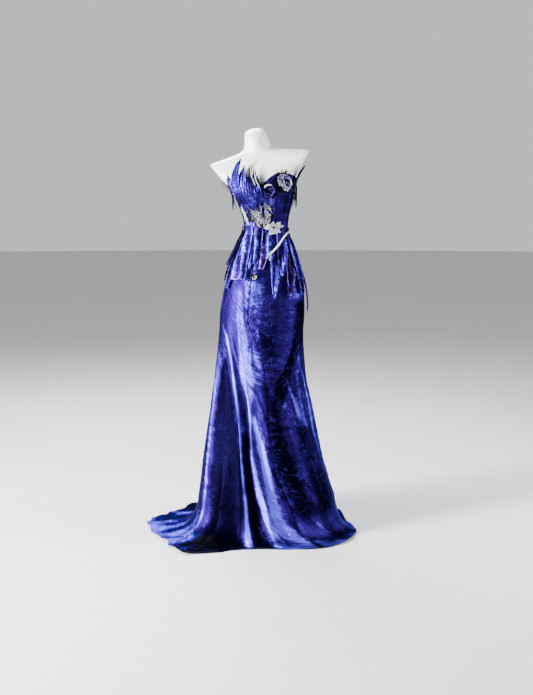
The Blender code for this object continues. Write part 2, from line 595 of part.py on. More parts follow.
# Peplum petals: two layers that fall from the waist, the inner one against the skirt. For each layer: height of
# the roots, mm that they stand out, mm out for each metre of fall, and crease
LAYER = {"inner": (1.184, 0.9, 24.0, 3.0), "outer": (1.206, 3.4, 38.0, 4.0)}
PEPLUM = (
    # name, layer, root angle, tip angle, tip height, root, belly and tip half widths, bend, material
    ("petal_left_side", "inner", -99, -98, 0.985, 17, 22, 8, 0, BLUE),
    ("petal_left_long", "inner", -68, -67, 0.965, 17, 23, 7, -3, BLUE),
    ("petal_left_front", "inner", -37, -38, 1.020, 15, 21, 9, 0, BLUE),
    ("petal_front", "inner", -5, -9, 1.045, 15, 20, 8, 0, VIOLET),
    ("petal_right_front", "inner", 27, 21, 0.936, 15, 20, 3, 3, BLUE),
    ("petal_right_low", "inner", 58, 47, 0.935, 15, 20, 3, 0, VIOLET),
    ("petal_right_side", "inner", 90, 86, 0.880, 18, 22, 4, 0, BLUE),
    ("petal_back_right_a", "inner", 123, 122, 0.990, 18, 22, 6, 0, BLUE),
    ("petal_back_right_b", "inner", 152, 151, 0.950, 15, 21, 5, 0, BLUE),
    ("petal_back_centre", "inner", 180, 180, 0.975, 15, 20, 6, 0, VIOLET),
    ("petal_back_left_b", "inner", 207, 208, 0.960, 15, 20, 5, 0, BLUE),
    ("petal_back_left_a", "inner", 233, 236, 0.995, 15, 19, 6, 0, BLUE),
    ("flap_left_side", "outer", -85, -86, 1.040, 15, 25, 12, 0, VIOLET),
    ("flap_left_cut", "outer", -51, -47, 1.000, 15, 25, 27, 0, BLUE),
    ("flap_front_left", "outer", -19, -24, 1.060, 12, 17, 11, 2, BLUE),
    ("flap_front_right", "outer", 12, 7, 1.085, 12, 16, 10, 0, BLUE),
    ("flap_right_front", "outer", 42, 34, 1.025, 12, 19, 5, 0, BLUE),
    ("flap_right_side", "outer", 73, 69, 0.955, 14, 22, 6, 4, BLUE),
    ("flap_back_right", "outer", 107, 107, 1.045, 16, 26, 10, 0, VIOLET),
    ("flap_back_inner", "outer", 139, 138, 1.030, 14, 23, 9, 0, BLUE),
    ("flap_back_centre", "outer", 168, 168, 1.055, 12, 19, 9, 0, BLUE),
    ("flap_back_left", "outer", 197, 198, 1.035, 13, 22, 8, 0, VIOLET),
    ("flap_back_outer", "outer", 229, 230, 1.050, 14, 24, 10, 0, BLUE),
)
# Leaves and torn strips of the bodice: root and tip as angle, height and mm out, then bend, widths and crease
LEAVES = (
    ("leaf_left", (-60, 1.300, 1.0), (-60, 1.412, 10), -2, (9, 18, 3), 3, VIOLET),
    ("leaf_middle", (-40, 1.290, 1.0), (-38, 1.430, 12), -2, (9, 17, 2), 3, BLUE),
    ("leaf_inner", (-21, 1.290, 1.0), (-15, 1.408, 8), 3, (8, 16, 3), 3, BLUE),
    ("leaf_tall", (-49, 1.300, 4.7), (-48, 1.452, 27), -1, (9, 18, 1.5), 5, BLUE),
    ("leaf_low", (-28, 1.392, 11.0), (-27, 1.272, 8.5), 1, (8, 18, 3), 4, BLUE),
    ("leaf_right_up", (70, 1.330, 0.6), (72, 1.420, 10), 3, (7, 11, 2), 3, BLACK),
    ("strip_left", (-66, 1.285, 1.0), (-50, 1.212, 1.0), 2, (5, 6, 4), 1.5, SILVER),
)
# Torn silk net, rows from the bottom: bars cross at the even columns and odd rows, and the dots are holes
NET = (
    "..#.#...#",
    "#########",
    "#.#.#.#..",
    "#####.###",
    "#...#.#.#",
    "###.#####",
    "#.#.#.#.#",
    "#########",
)
# Fringe under the arms, rows from the bottom: strands below a backing strip
FRINGE = ("#.#.#.#.#", "#.#.#.#.#", "#.#.#.#.#", "#########")
FRINGES = (
    # name, left angle, height of the ends, width, length, sway, mm out at the top and bottom, material
    ("fringe_left", -104, 1.286, 62, 76, 2.0, 1.6, 24, BLACK),
    ("fringe_right", 87, 1.284, 60, 74, 2.0, 1.2, 18, BLACK),
)
ROSETTES = (
    # name, angle, height, mm out, then the ruff's radius and points, the mm from its back to the spiral, the spiral's
    # radius, turns and height, and the materials of both
    ("centre", 10, 1.338, 1.2, 28, 9, 2.3, 19, 2.2, 15, BLACK, VIOLET),
    ("right", 43, 1.364, 1.8, 37, 11, 2.6, 26, 2.6, 16, BLACK, SILVER),
    ("puff", -20, 1.012, 0.4, 13, 8, 2.0, 9, 1.6, 13, BLACK, SILVER),
    ("hip", 46, 0.972, 11.1, 17, 8, 2.0, 13, 1.8, 9, BLUE, VIOLET),
    ("waist", 22, 1.205, 8.2, 27, 7, 2.0, 11, 1.6, 5, SILVER, SILVER),
)
BRAID = {"path": ((62, 1.190, 11), (44, 1.165, 15), (20, 1.120, 18), (6, 1.098, 18)), "radius": 4.0}


def trimming():
    """Every piece sewn on the bodice and the waist seam."""
    for name, layer, root, tip, low, start, belly, end, bend, material in PEPLUM:
        high, out, flare, crease = LAYER[layer]
        leaf(name, (root, high, out), (tip, low, out + flare * (high - low)), bend, (start, belly, end), crease, material)
    for name, root, tip, bend, widths, crease, material in LEAVES:
        leaf(name, root, tip, bend, widths, crease, material)
    patch("net_stomach", NET, (-42, 1.212), 100, 72, 1.1, SILVER, sway=3.0, bar=0.45)
    for name, angle, height, width, length, sway, out, low_out, material in FRINGES:
        patch(name, FRINGE, (angle, height), width, length, out, material, sway, low_out - out)
    for name, angle, height, out, wide, points, seat, radius, turns, tall, under, over in ROSETTES:
        ruff("ruff_" + name, (angle, height, out), wide, points, under)
        rosette("rosette_" + name, (angle, height, out + seat), radius, turns, tall, over)
    band("braid_waist", BRAID["path"], BRAID["radius"], SILVER)


form_torso()
stand()
bodice()
skirt_gores()
trimming()
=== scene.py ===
"""The looks of a strapless trumpet gown of blue taffeta on a headless and armless display form.

Metres, +Z up, +X to the viewer's right and -Y to the front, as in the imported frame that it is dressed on. Angles go
round the pole from the front over the right, in degrees in the tables and in radians in the functions.
"""

import math

import bpy
import numpy as np
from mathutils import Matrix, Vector


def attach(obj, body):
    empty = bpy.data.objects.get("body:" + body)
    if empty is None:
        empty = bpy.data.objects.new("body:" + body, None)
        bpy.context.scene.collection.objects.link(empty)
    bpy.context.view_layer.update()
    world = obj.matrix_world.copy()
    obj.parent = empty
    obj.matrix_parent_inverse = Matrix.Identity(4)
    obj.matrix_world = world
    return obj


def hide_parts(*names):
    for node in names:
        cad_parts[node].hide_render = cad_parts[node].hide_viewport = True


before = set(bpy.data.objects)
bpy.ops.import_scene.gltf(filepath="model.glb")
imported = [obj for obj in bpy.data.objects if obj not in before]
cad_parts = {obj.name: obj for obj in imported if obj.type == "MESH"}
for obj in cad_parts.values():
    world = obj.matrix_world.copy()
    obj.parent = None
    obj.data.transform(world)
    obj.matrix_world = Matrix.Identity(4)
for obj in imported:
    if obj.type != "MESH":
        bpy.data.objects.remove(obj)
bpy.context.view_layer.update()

# Studio. A pale floor and surround, a wide key light from the upper left that leaves the gown's right side darker, a
# tall one beside it for the ridges, one behind for the train and a slim one at the right for the edges.
MM = 0.001
DEG = math.pi / 180
CAMERA = {"at": (0.018, -4.2, 1.27), "tilt": 82.7, "lens": 1075 / 695 * 36}
FLOOR_RINGS = (0.6, 3.0, 30.0)
FLOOR_ROUND = 64
FLOOR_COLOURS = ((0.66, 0.66, 0.68, 1), (0.72, 0.72, 0.73, 1))
FLOOR_ROUGH = (0.62, 0.72)
SURROUND = {"colour": (0.70, 0.71, 0.74, 1), "light": 0.10, "seen": 1.0}
KEY_LIGHT = {"from": (-0.95, -0.42, 0.42), "watts": 5.0, "wide": 26, "colour": (1.0, 0.985, 0.96)}
LIGHTS = (
    # name, place, aimed at, width, height, watts, colour
    ("left_light", (-2.7, -1.6, 1.5), (0.0, 0.0, 0.75), 0.5, 2.2, 620, (0.97, 0.98, 1.0)),
    ("back_light", (-1.0, 2.4, 3.2), (-0.25, 0.0, 0.1), 1.8, 0.6, 260, (0.95, 0.96, 1.0)),
    ("edge_light", (2.6, -0.3, 1.7), (0.05, 0.0, 0.75), 0.35, 1.7, 120, (0.92, 0.94, 1.0)),
)


def fed(tree, made, inputs):
    """A node whose inputs are set to values or linked to sockets."""
    for key, value in inputs.items():
        if isinstance(value, bpy.types.NodeSocket):
            tree.links.new(value, made.inputs[key])
        else:
            made.inputs[key].default_value = value
    return made


def node(tree, kind, inputs=None, **settings):
    """A shader node with its settings and its inputs."""
    made = tree.nodes.new(kind)
    for key, value in settings.items():
        setattr(made, key, value)
    return fed(tree, made, inputs or {})


def material(name):
    """A material, its node tree and its Principled shader, whose output is joined."""
    made = bpy.data.materials.new(name)
    made.use_nodes = True
    return made, made.node_tree, made.node_tree.nodes["Principled BSDF"]


def spot(tree):
    """Place on the piece, in its object's coordinates."""
    return node(tree, "ShaderNodeTexCoord").outputs["Object"]


def clouds(tree, at, scale, detail=2.0, rough=0.5):
    """Cloudy noise from 0 to 1 at a place."""
    inputs = {"Vector": at, "Scale": scale, "Detail": detail, "Roughness": rough}
    return node(tree, "ShaderNodeTexNoise", inputs).outputs["Fac"]


def blended(tree, share, low, high):
    """Colour between two colours by a share."""
    mixed = node(tree, "ShaderNodeMix", {0: share}, data_type="RGBA")
    colours = [number for number, socket in enumerate(mixed.inputs) if socket.type == "RGBA"]
    fed(tree, mixed, dict(zip(colours, (low, high))))
    return next(socket for socket in mixed.outputs if socket.type == "RGBA")


def spread(tree, value, low, high, to_low, to_high):
    """A value carried from one range to another."""
    inputs = {"Value": value, "From Min": low, "From Max": high, "To Min": to_low, "To Max": to_high}
    return node(tree, "ShaderNodeMapRange", inputs).outputs["Result"]


def quads(rows, columns, wrap=False):
    """Corner numbers of a grid's quads, counted row by row, with the last column joined to the first if it wraps."""
    index = np.arange(rows * columns).reshape(rows, columns)
    if wrap:
        index = np.hstack([index, index[:, :1]])
    return np.stack([index[:-1, :-1], index[:-1, 1:], index[1:, 1:], index[1:, :-1]], axis=-1).reshape(-1, 4)


def floor():
    """A flat round floor about the pole: radius times the cosine and the sine of the angle, closed at its middle."""
    turn = np.linspace(0, 2 * math.pi, FLOOR_ROUND, endpoint=False)
    rings = np.array(FLOOR_RINGS)[:, None]
    points = np.stack([rings * np.cos(turn), rings * np.sin(turn), 0 * rings * turn], axis=-1).reshape(-1, 3)
    faces = quads(len(FLOOR_RINGS), FLOOR_ROUND, wrap=True)[:, ::-1].tolist() + [list(range(FLOOR_ROUND))]
    mesh = bpy.data.meshes.new("studio_floor")
    mesh.from_pydata(points.tolist(), [], faces)
    made, tree, shader = material("studio_floor")
    cloud = clouds(tree, spot(tree), 1.3, 3.0)
    rough = spread(tree, cloud, 0, 1, *FLOOR_ROUGH)
    fed(tree, shader, {"Base Color": blended(tree, cloud, *FLOOR_COLOURS), "Roughness": rough})
    mesh.materials.append(made)
    laid = bpy.data.objects.new("studio_floor", mesh)
    bpy.context.scene.collection.objects.link(laid)


def lit(lamp, colour, watts, place, aim):
    """Hangs a lamp at a place and turns it to a point."""
    lamp.color, lamp.energy = colour, watts
    made = bpy.data.objects.new(lamp.name, lamp)
    made.location = place
    made.rotation_euler = (Vector(place) - Vector(aim)).to_track_quat("Z", "Y").to_euler()
    bpy.context.scene.collection.objects.link(made)


def studio():
    """Camera, surround and lights."""
    scene = bpy.context.scene
    eye = bpy.data.objects.new("photo_camera", bpy.data.cameras.new("photo_camera"))
    eye.location = CAMERA["at"]
    eye.rotation_euler = (CAMERA["tilt"] * DEG, 0, 0)
    eye.data.lens = CAMERA["lens"]
    scene.collection.objects.link(eye)
    scene.camera = eye
    world = bpy.data.worlds.new("surround")
    world.use_nodes = True
    tree = world.node_tree
    seen = node(tree, "ShaderNodeLightPath").outputs["Is Camera Ray"]
    strength = spread(tree, seen, 0.0, 1.0, SURROUND["light"], SURROUND["seen"])
    fed(tree, tree.nodes["Background"], {"Color": SURROUND["colour"], "Strength": strength})
    scene.world = world
    sun = bpy.data.lights.new("key_light", "SUN")
    sun.angle = KEY_LIGHT["wide"] * DEG
    lit(sun, KEY_LIGHT["colour"], KEY_LIGHT["watts"], KEY_LIGHT["from"], (0, 0, 0))
    for name, place, aim, width, height, watts, colour in LIGHTS:
        lamp = bpy.data.lights.new(name, "AREA")
        lamp.shape, lamp.size, lamp.size_y = "RECTANGLE", width, height
        lit(lamp, colour, watts, place, aim)


floor()
studio()

# Display form. A glossy white shell of moulded plastic, headless and armless, with a domed neck and flat cuts where
# the arms would join. It is cast in two halves that are glued and rubbed down, so it has no open seam.
FORM_ROUND = 168
FORM_BANDS = (
    # lowest ring, highest ring, how many
    (0.80, 1.38, 44),
    (1.385, 1.50, 64),
    (1.503, 1.562, 20),
)
NECK_DOME = {"up": (0.0, -3 * MM, 10 * MM), "rings": 10, "power": 0.8}
FORM_COLOURS = ((0.78, 0.775, 0.75, 1), (0.86, 0.855, 0.84, 1))
FORM_ROUGH = (0.30, 0.48)
BODY = (
    # height, centre_x, centre_y, roll, half_width, front, back, square, slope
    (0.800, -0.001, 0.004, 0.0, 0.146, 0.100, 0.110, 2.2, 0.0),
    (0.860, 0.001, 0.004, -0.5, 0.152, 0.104, 0.117, 2.2, 0.0),
    (0.930, 0.005, 0.004, -1.5, 0.153, 0.103, 0.118, 2.2, 0.0),
    (1.000, 0.010, 0.003, -3.0, 0.142, 0.098, 0.110, 2.2, 0.0),
    (1.070, 0.014, 0.001, -4.5, 0.118, 0.088, 0.096, 2.1, 0.0),
    (1.130, 0.016, -0.001, -5.0, 0.096, 0.077, 0.080, 2.1, 0.0),
    (1.190, 0.016, -0.003, -4.0, 0.083, 0.071, 0.070, 2.1, 0.0),
    (1.240, 0.015, -0.005, -1.5, 0.087, 0.074, 0.072, 2.1, 0.0),
    (1.290, 0.013, -0.007, 2.0, 0.101, 0.083, 0.078, 2.1, 0.0),
    (1.340, 0.010, -0.008, 5.5, 0.118, 0.092, 0.084, 2.1, 0.0),
    (1.380, 0.001, -0.006, 7.0, 0.137, 0.092, 0.089, 2.2, 0.0),
    (1.407, -0.005, -0.002, 7.5, 0.170, 0.084, 0.090, 2.4, 0.0),
    (1.430, -0.007, 0.003, 7.5, 0.206, 0.073, 0.084, 2.6, 0.0),
    (1.453, -0.007, 0.008, 8.2, 0.222, 0.062, 0.074, 2.7, 0.02),
    (1.470, -0.008, 0.011, 8.2, 0.198, 0.054, 0.064, 2.5, 0.04),
    (1.482, -0.010, 0.013, 8.2, 0.140, 0.050, 0.057, 2.2, 0.08),
    (1.492, -0.013, 0.014, 8.0, 0.088, 0.049, 0.053, 2.0, 0.12),
    (1.503, -0.015, 0.014, 8.0, 0.061, 0.049, 0.051, 2.0, 0.17),
    (1.521, -0.018, 0.012, 8.0, 0.0500, 0.050, 0.050, 2.0, 0.26),
    (1.543, -0.022, 0.009, 7.5, 0.0445, 0.050, 0.049, 2.0, 0.36),
    (1.562, -0.025, 0.007, 7.0, 0.0410, 0.048, 0.047, 2.0, 0.42),
)
ARM_CUT = {"armpit": (1.388, 0.139), "shoulder": (1.461, 0.188), "corner": 36}
BUST = {"angle": 34.0, "spread": 21.0, "height": 1.350, "tall": 0.040, "out": 15 * MM}
FINE_STEPS = 900


def smooth(t):
    """0 to 1 with level ends: 3 t squared less 2 t cubed."""
    t = np.clip(t, 0.0, 1.0)
    return t * t * (3 - 2 * t)


def bell(off, wide, power=2):
    """Bell curve: 1 in the middle, and e to minus a power of the distance over the width away from it."""
    return np.exp(-(np.abs(off / wide) ** power))


def degrees(angle, start=-180):
    """An angle in degrees, on the turn that begins at the start."""
    return (np.asarray(angle) / DEG - start) % 360 + start


def read(table, at):
    """Every column of a table after the first, read at values of the first, on a smooth curve through the rows."""
    rows = np.array(sorted(table), float)
    key, values = rows[:, 0], rows[:, 1:]
    slopes = np.gradient(values, key, axis=0)
    at = np.clip(np.asarray(at, float), key[0], key[-1])
    low = np.clip(np.searchsorted(key, at, side="right") - 1, 0, len(key) - 2)
    span = key[low + 1] - key[low]
    t = ((at - key[low]) / span)[..., None]
    span = span[..., None]
    return (
        values[low] * (1 + 2 * t) * (1 - t) ** 2
        + values[low + 1] * t * t * (3 - 2 * t)
        + slopes[low] * span * t * (1 - t) ** 2
        - slopes[low + 1] * span * t * t * (1 - t)
    )


def ring_radius(angle, left, right, front, back, square):
    """Distance from the axis to a rounded ring: the sum of the powers of its sine and cosine shares is one."""
    across = np.where(np.sin(angle) < 0, left, right)
    through = np.where(np.cos(angle) > 0, front, back)
    total = np.abs(np.sin(angle) / across) ** square + np.abs(np.cos(angle) / through) ** square
    return total ** (-1 / square)


def place(angle, radius, height, centre_x, centre_y, roll, slope):
    """Point of a ring whose plane is rolled about Y and sloped towards the back."""
    across = radius * np.sin(angle)
    through = -radius * np.cos(angle)
    x = centre_x + across * np.cos(roll * DEG)
    z = height + across * np.sin(roll * DEG) + slope * through
    return np.stack(np.broadcast_arrays(x, centre_y + through, z), axis=-1)


def bust(angle, height):
    """How far the bust stands out: a bell curve round its angle times one round its height."""
    round_front = bell(np.abs(degrees(angle)) - BUST["angle"], BUST["spread"])
    return BUST["out"] * round_front * bell(height - BUST["height"], BUST["tall"])


def skin(angle, height):
    """Point of the form's skin: its rounded ring with the bust, pulled in to the flat arm cut with a soft corner."""
    angle, height = np.broadcast_arrays(np.asarray(angle, float), np.asarray(height, float))
    centre_x, centre_y, roll, half_width, front, back, square, slope = np.moveaxis(read(BODY, height), -1, 0)
    radius = ring_radius(angle, half_width, half_width, front, back, square) + bust(angle, height)
    (low, low_cut), (high, high_cut) = ARM_CUT["armpit"], ARM_CUT["shoulder"]
    cut = low_cut + (high_cut - low_cut) * (height - low) / (high - low)
    cut = np.where(height < low, 1.0, cut)
    across = radius * np.sin(angle)
    over = (1 + np.abs(across / cut) ** ARM_CUT["corner"]) ** (1 / ARM_CUT["corner"])
    flat = place(angle, radius, height, centre_x, centre_y, roll, slope)
    inward = across / over - across
    return flat + np.stack([inward * np.cos(roll * DEG), 0 * inward, inward * np.sin(roll * DEG)], axis=-1)


def added(name, shapes, finish, slot, sharp=50):
    """A piece at the origin from shapes, each its points and arrays of its faces, shaded smooth up to an angle. It
    rides on the body."""
    faces, start = [], 0
    for points, blocks in shapes:
        for block in blocks:
            faces += (block + start).tolist()
        start += len(points)
    mesh = bpy.data.meshes.new(name)
    mesh.from_pydata(np.concatenate([points for points, _ in shapes]).tolist(), [], faces)
    mesh.shade_smooth()
    mesh.set_sharp_from_angle(angle=sharp * DEG)
    mesh.materials.append(finish)
    made = bpy.data.objects.new(name, mesh)
    bpy.context.scene.collection.objects.link(made)
    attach(made, "root")
    return made


def walk(line):
    """Length walked along a line up to each of its points."""
    return np.concatenate([[0.0], np.cumsum(np.linalg.norm(np.diff(line, axis=0), axis=1))])


def walked_to(values, walked, marks):
    """Values of a line's points, read where so much of it is walked."""
    return np.stack([np.interp(marks, walked, values[:, k]) for k in range(3)], axis=-1)


def even_ring(height):
    """Points of the form's ring at a height, evenly spaced along it from the front, each side on its own."""
    fine = np.linspace(0, math.pi, FINE_STEPS)
    halves = []
    for side in (1, -1):
        line = skin(fine * side, height)
        walked = walk(line)
        halves.append(walked_to(line, walked, np.linspace(0, walked[-1], FORM_ROUND // 2 + 1)))
    return np.concatenate([halves[0], halves[1][1:-1][::-1]])


def torso():
    """The form's shell: even rings from the hips to the neck, then a dome whose rings shrink as a power of a cosine,
    and fans of triangles that close both ends."""
    rings = np.stack([even_ring(height) for band in FORM_BANDS for height in np.linspace(*band)])
    middle = rings[-1].mean(axis=0)
    rise = np.linspace(0, math.pi / 2, NECK_DOME["rings"])[1:-1, None, None]
    up = np.array(NECK_DOME["up"])
    dome = middle + (rings[-1] - middle) * np.cos(rise) ** NECK_DOME["power"] + up * np.sin(rise)
    rings = np.concatenate([rings, dome])
    rows = len(rings)
    points = np.concatenate([rings.reshape(-1, 3), [middle + up, rings[0].mean(axis=0)]])
    ring = np.arange(FORM_ROUND)
    following, last, pole = (ring + 1) % FORM_ROUND, (rows - 1) * FORM_ROUND, rows * FORM_ROUND
    top = np.stack([last + ring, last + following, 0 * ring + pole], axis=-1)
    foot = np.stack([following, ring, 0 * ring + pole + 1], axis=-1)
    blocks = [quads(rows, FORM_ROUND, wrap=True), top, foot]
    made = added("display_torso", [(points, blocks)], form_plastic(), "form_skin")
    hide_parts("form_torso")


def bumped(tree, height, strength, distance, under=None):
    """Normal of a relief, over another normal where one is given."""
    inputs = {"Height": height, "Strength": strength, "Distance": distance}
    if under is not None:
        inputs["Normal"] = under
    return node(tree, "ShaderNodeBump", inputs).outputs["Normal"]


def form_plastic():
    """Glossy white plastic: faint clouds of yellowing, a fine moulded ripple and a few dull rubbed places."""
    made, tree, shader = material("form_plastic")
    at = spot(tree)
    fed(tree, shader, {
        "Base Color": blended(tree, clouds(tree, at, 7.0, 4.0), *FORM_COLOURS),
        "Roughness": spread(tree, clouds(tree, at, 38.0, 5.0, 0.7), 0.4, 0.75, *FORM_ROUGH),
        "Normal": bumped(tree, clouds(tree, at, 160.0), 0.35, 0.25 * MM),
        "Coat Weight": 0.15,
        "Coat Roughness": 0.2,
    })
    return made


torso()

# Stand. A turned steel floor plate with a collar and the tube that carries the form, brushed round their axis and
# lacquered, with fine scratches on the plate.
STEEL_COLOURS = ((0.42, 0.42, 0.44, 1), (0.60, 0.60, 0.62, 1))
STEEL_ROUGH = (0.24, 0.42)
BRUSHING = (1800, 900, 1)


def maths(tree, operation, *values):
    """Result of one operation on sockets and numbers."""
    return node(tree, "ShaderNodeMath", dict(enumerate(values)), operation=operation).outputs[0]


def scaled(tree, vector, size):
    """A vector whose parts are multiplied by a size each."""
    return node(tree, "ShaderNodeVectorMath", {0: vector, 1: size}, operation="MULTIPLY").outputs[0]


def brushed_steel():
    """Steel brushed round the axis: noise read at radius, height and a slow turn, so it draws fine rings."""
    made, tree, shader = material("brushed_steel")
    at = spot(tree)
    x, y, z = node(tree, "ShaderNodeSeparateXYZ", {"Vector": at}).outputs
    radius = maths(tree, "SQRT", maths(tree, "ADD", maths(tree, "MULTIPLY", x, x), maths(tree, "MULTIPLY", y, y)))
    wound = node(tree, "ShaderNodeCombineXYZ", {"X": radius, "Y": z, "Z": maths(tree, "ARCTAN2", y, x)}).outputs[0]
    hair = clouds(tree, scaled(tree, wound, BRUSHING), 1.0, 3.0)
    fed(tree, shader, {
        "Base Color": blended(tree, hair, *STEEL_COLOURS),
        "Roughness": spread(tree, clouds(tree, at, 22.0, 6.0), 0.35, 0.7, *STEEL_ROUGH),
        "Normal": bumped(tree, hair, 0.3, 0.05 * MM),
        "Metallic": 1.0,
    })
    return made


STEEL = brushed_steel()
for part in ("form_pole", "form_base"):
    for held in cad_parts[part].material_slots:
        held.material = STEEL

# Bodice. Five boned panels of blue shot taffeta, sewn edge to edge and turned in along the sweetheart top, with
# raised channels over the bones and puckered seams.
WAIST_HEIGHT = 1.17
SEAM_GAP = 0.3 * MM
CLOTH = 2.0 * MM
FORM_GAP = 0.9 * MM
SHELL = 0.9 * MM
BODICE_ROWS = 84
BODICE_TOP = (
    (-180, 1.322), (-140, 1.334), (-105, 1.360), (-80, 1.374), (-55, 1.392), (-36, 1.398), (-16, 1.384),
    (0, 1.368), (16, 1.384), (36, 1.398), (55, 1.392), (80, 1.374), (105, 1.360), (140, 1.334), (180, 1.322),
)
BODICE_PANELS = (
    # name, first angle, last angle, columns, angles of its bones
    ("bodice_front", -27, 27, 44, (-14, 0, 14)),
    ("bodice_side_right", 27, 81, 44, (45, 63)),
    ("bodice_back_right", 81, 180, 76, (103, 128, 155, 175)),
    ("bodice_back_left", 180, 279, 76, (185, 205, 232, 257)),
    ("bodice_side_left", 279, 333, 44, (297, 315)),
)
BODICE_REACH = 0.10
BONE = {"out": 0.9 * MM, "half": 4.5 * MM, "groove": 0.5 * MM, "groove_half": 1.2 * MM, "groove_at": 1.5}
DRAG = {"out": 0.9 * MM, "across": 30 * MM, "up": 13 * MM, "skew": 6, "long_out": 0.6 * MM, "long_across": 12 * MM,
        "long_up": 40 * MM}
PUCKER = {"in": 1.1 * MM, "half": 1.6 * MM, "out": 0.7 * MM, "reach": 7 * MM, "apart": 9 * MM}
TOP_EDGE = {"out": 0.8 * MM, "half": 3 * MM, "in": 0.7 * MM, "stitch_half": 1.5 * MM, "stitch": 7 * MM}
BODICE_RELIEF = (-1.2 * MM, 3 * MM)
# Painted light on the bodice: a middle level, how much painted highlight or shade the relief gives per that much
# height, and painted shade on the panels to the right, growing from an angle over some degrees
BODICE_PAINTED_LIGHT = {"level": 0.45, "fold": 0.25, "height": 1.4 * MM, "shaded": 0.28, "from": 18, "over": 30}
TAFFETA_BLUE = (
    # darkest for painted shade in hollows, deep, full, and pale for painted highlight
    (0.0006, 0.0002, 0.004, 1), (0.0054, 0.0011, 0.034, 1), (0.027, 0.0080, 0.165, 1), (0.135, 0.120, 1.0, 1),
)
LEAST_SIDE = 9.5 * MM
SURFACE_STEP = (0.01, 0.002)


def noise(x, y, seed):
    """Rolling hills from -1 to 1: random numbers at whole coordinates, joined by level-ended curves."""
    table = np.random.default_rng(seed).uniform(-1, 1, (64, 64))
    left, low = np.floor(x).astype(int), np.floor(y).astype(int)
    u, v = smooth(x - left), smooth(y - low)
    corner = [[table[(low + b) % 64, (left + a) % 64] for a in (0, 1)] for b in (0, 1)]
    rows = [corner[b][0] * (1 - u) + corner[b][1] * u for b in (0, 1)]
    return rows[0] * (1 - v) + rows[1] * v


def crushed(x, y, seed):
    """Facets of crushed cloth, 0 in their hollows and about 1 on their edges: the distance to the nearest of
    scattered points, one in each unit square, squared."""
    spots = np.random.default_rng(seed).uniform(0.1, 0.9, (64, 64, 2))
    left, low = np.floor(x).astype(int), np.floor(y).astype(int)
    near = np.full(np.shape(x), 9.0)
    for b in (-1, 0, 1):
        for a in (-1, 0, 1):
            at = spots[(low + b) % 64, (left + a) % 64]
            near = np.minimum(near, (left + a + at[..., 0] - x) ** 2 + (low + b + at[..., 1] - y) ** 2)
    return near


def unit(vectors):
    """Vectors over their lengths."""
    return vectors / np.maximum(np.linalg.norm(vectors, axis=-1, keepdims=True), 1e-12)


def grid_normals(points):
    """Unit normals of a grid of points: the cross product of its steps along rows and up columns."""
    return unit(np.cross(np.gradient(points, axis=1), np.gradient(points, axis=0)))


def moved_out(surface, first, second, out):
    """Surface points moved out along the normal of the surface at each, from steps of its two parameters."""
    across, up = SURFACE_STEP
    round_way = surface(first + across, second) - surface(first - across, second)
    up_way = surface(first, second + up) - surface(first, second - up)
    return surface(first, second) + unit(np.cross(round_way, up_way)) * np.asarray(out)[..., None]


def effect(name, numbers, outputs):
    """An empty shader node group that takes a cut and named numbers and gives named numbers, and its two end nodes."""
    group = bpy.data.node_groups.new(name, "ShaderNodeTree")
    group.interface.new_socket("Cut", in_out="INPUT", socket_type="NodeSocketVector")
    for way, labels in (("INPUT", numbers), ("OUTPUT", outputs)):
        for label in labels:
            group.interface.new_socket(label, in_out=way, socket_type="NodeSocketFloat")
    return group, group.nodes.new("NodeGroupInput"), group.nodes.new("NodeGroupOutput")


def summed(tree, *pairs):
    """Sum of sockets, each times its own number."""
    total, *parts = [maths(tree, "MULTIPLY", socket, times) for socket, times in pairs]
    for part in parts:
        total = maths(tree, "ADD", total, part)
    return total


def weave_effect():
    """Plain silk weave: uneven weft slubs drawn long across the cloth over fine warp ribs. Cut is in metres."""
    group, start, end = effect("silk_weave", (), ("Height", "Shade"))
    cut = start.outputs["Cut"]
    slub = clouds(group, scaled(group, cut, (26, 1100, 1)), 1.0)
    warp = clouds(group, scaled(group, cut, (1500, 18, 1)), 1.0, 1.0)
    streak = clouds(group, scaled(group, cut, (5, 210, 1)), 1.0, 3.0)
    shade = summed(group, (slub, 0.35), (warp, 0.15), (streak, 0.5))
    fed(group, end, {"Height": summed(group, (slub, 0.7), (warp, 0.3)), "Shade": shade})
    return group


def crinkle_effect():
    """Small crinkles of crisp taffeta: thin cross wrinkles and pressed facets, stronger where Amount says. Lines is 1
    on the thin edges between facets. Facets is how many lie along a metre."""
    group, start, end = effect("taffeta_crinkle", ("Amount", "Facets"), ("Height", "Lines"))
    cut = start.outputs["Cut"]
    bend = node(group, "ShaderNodeTexNoise", {"Vector": cut, "Scale": 22.0, "Detail": 2.0}).outputs["Color"]
    bend = scaled(group, bend, (0.05, 0.05, 0))
    swayed = node(group, "ShaderNodeVectorMath", {0: bend, 1: cut}, operation="ADD").outputs[0]
    cross = clouds(group, scaled(group, swayed, (22, 90, 1)), 1.0, 4.0)
    edges = []
    for size, stretch in ((1.0, (0.8, 1.25, 1)), (2.3, (1.2, 0.7, 1))):
        facets = maths(group, "MULTIPLY", start.outputs["Facets"], size)
        inputs = {"Vector": scaled(group, swayed, stretch), "Scale": facets}
        facet = node(group, "ShaderNodeTexVoronoi", inputs, feature="DISTANCE_TO_EDGE")
        edges.append(facet.outputs["Distance"])
    broad, small = (spread(group, edge, 0.0, 0.22, 1.0, 0.0) for edge in edges)
    relief = summed(group, (cross, 0.9), (broad, 0.55), (small, 0.30))
    height = maths(group, "MULTIPLY", relief, start.outputs["Amount"])
    thin, broken = spread(group, edges[0], 0.0, 0.07, 1.0, 0.0), spread(group, cross, 0.45, 0.62, 0.0, 1.0)
    fed(group, end, {"Height": height, "Lines": maths(group, "MULTIPLY", thin, broken)})
    return group


SILK_WEAVE = weave_effect()
TAFFETA_CRINKLE = crinkle_effect()


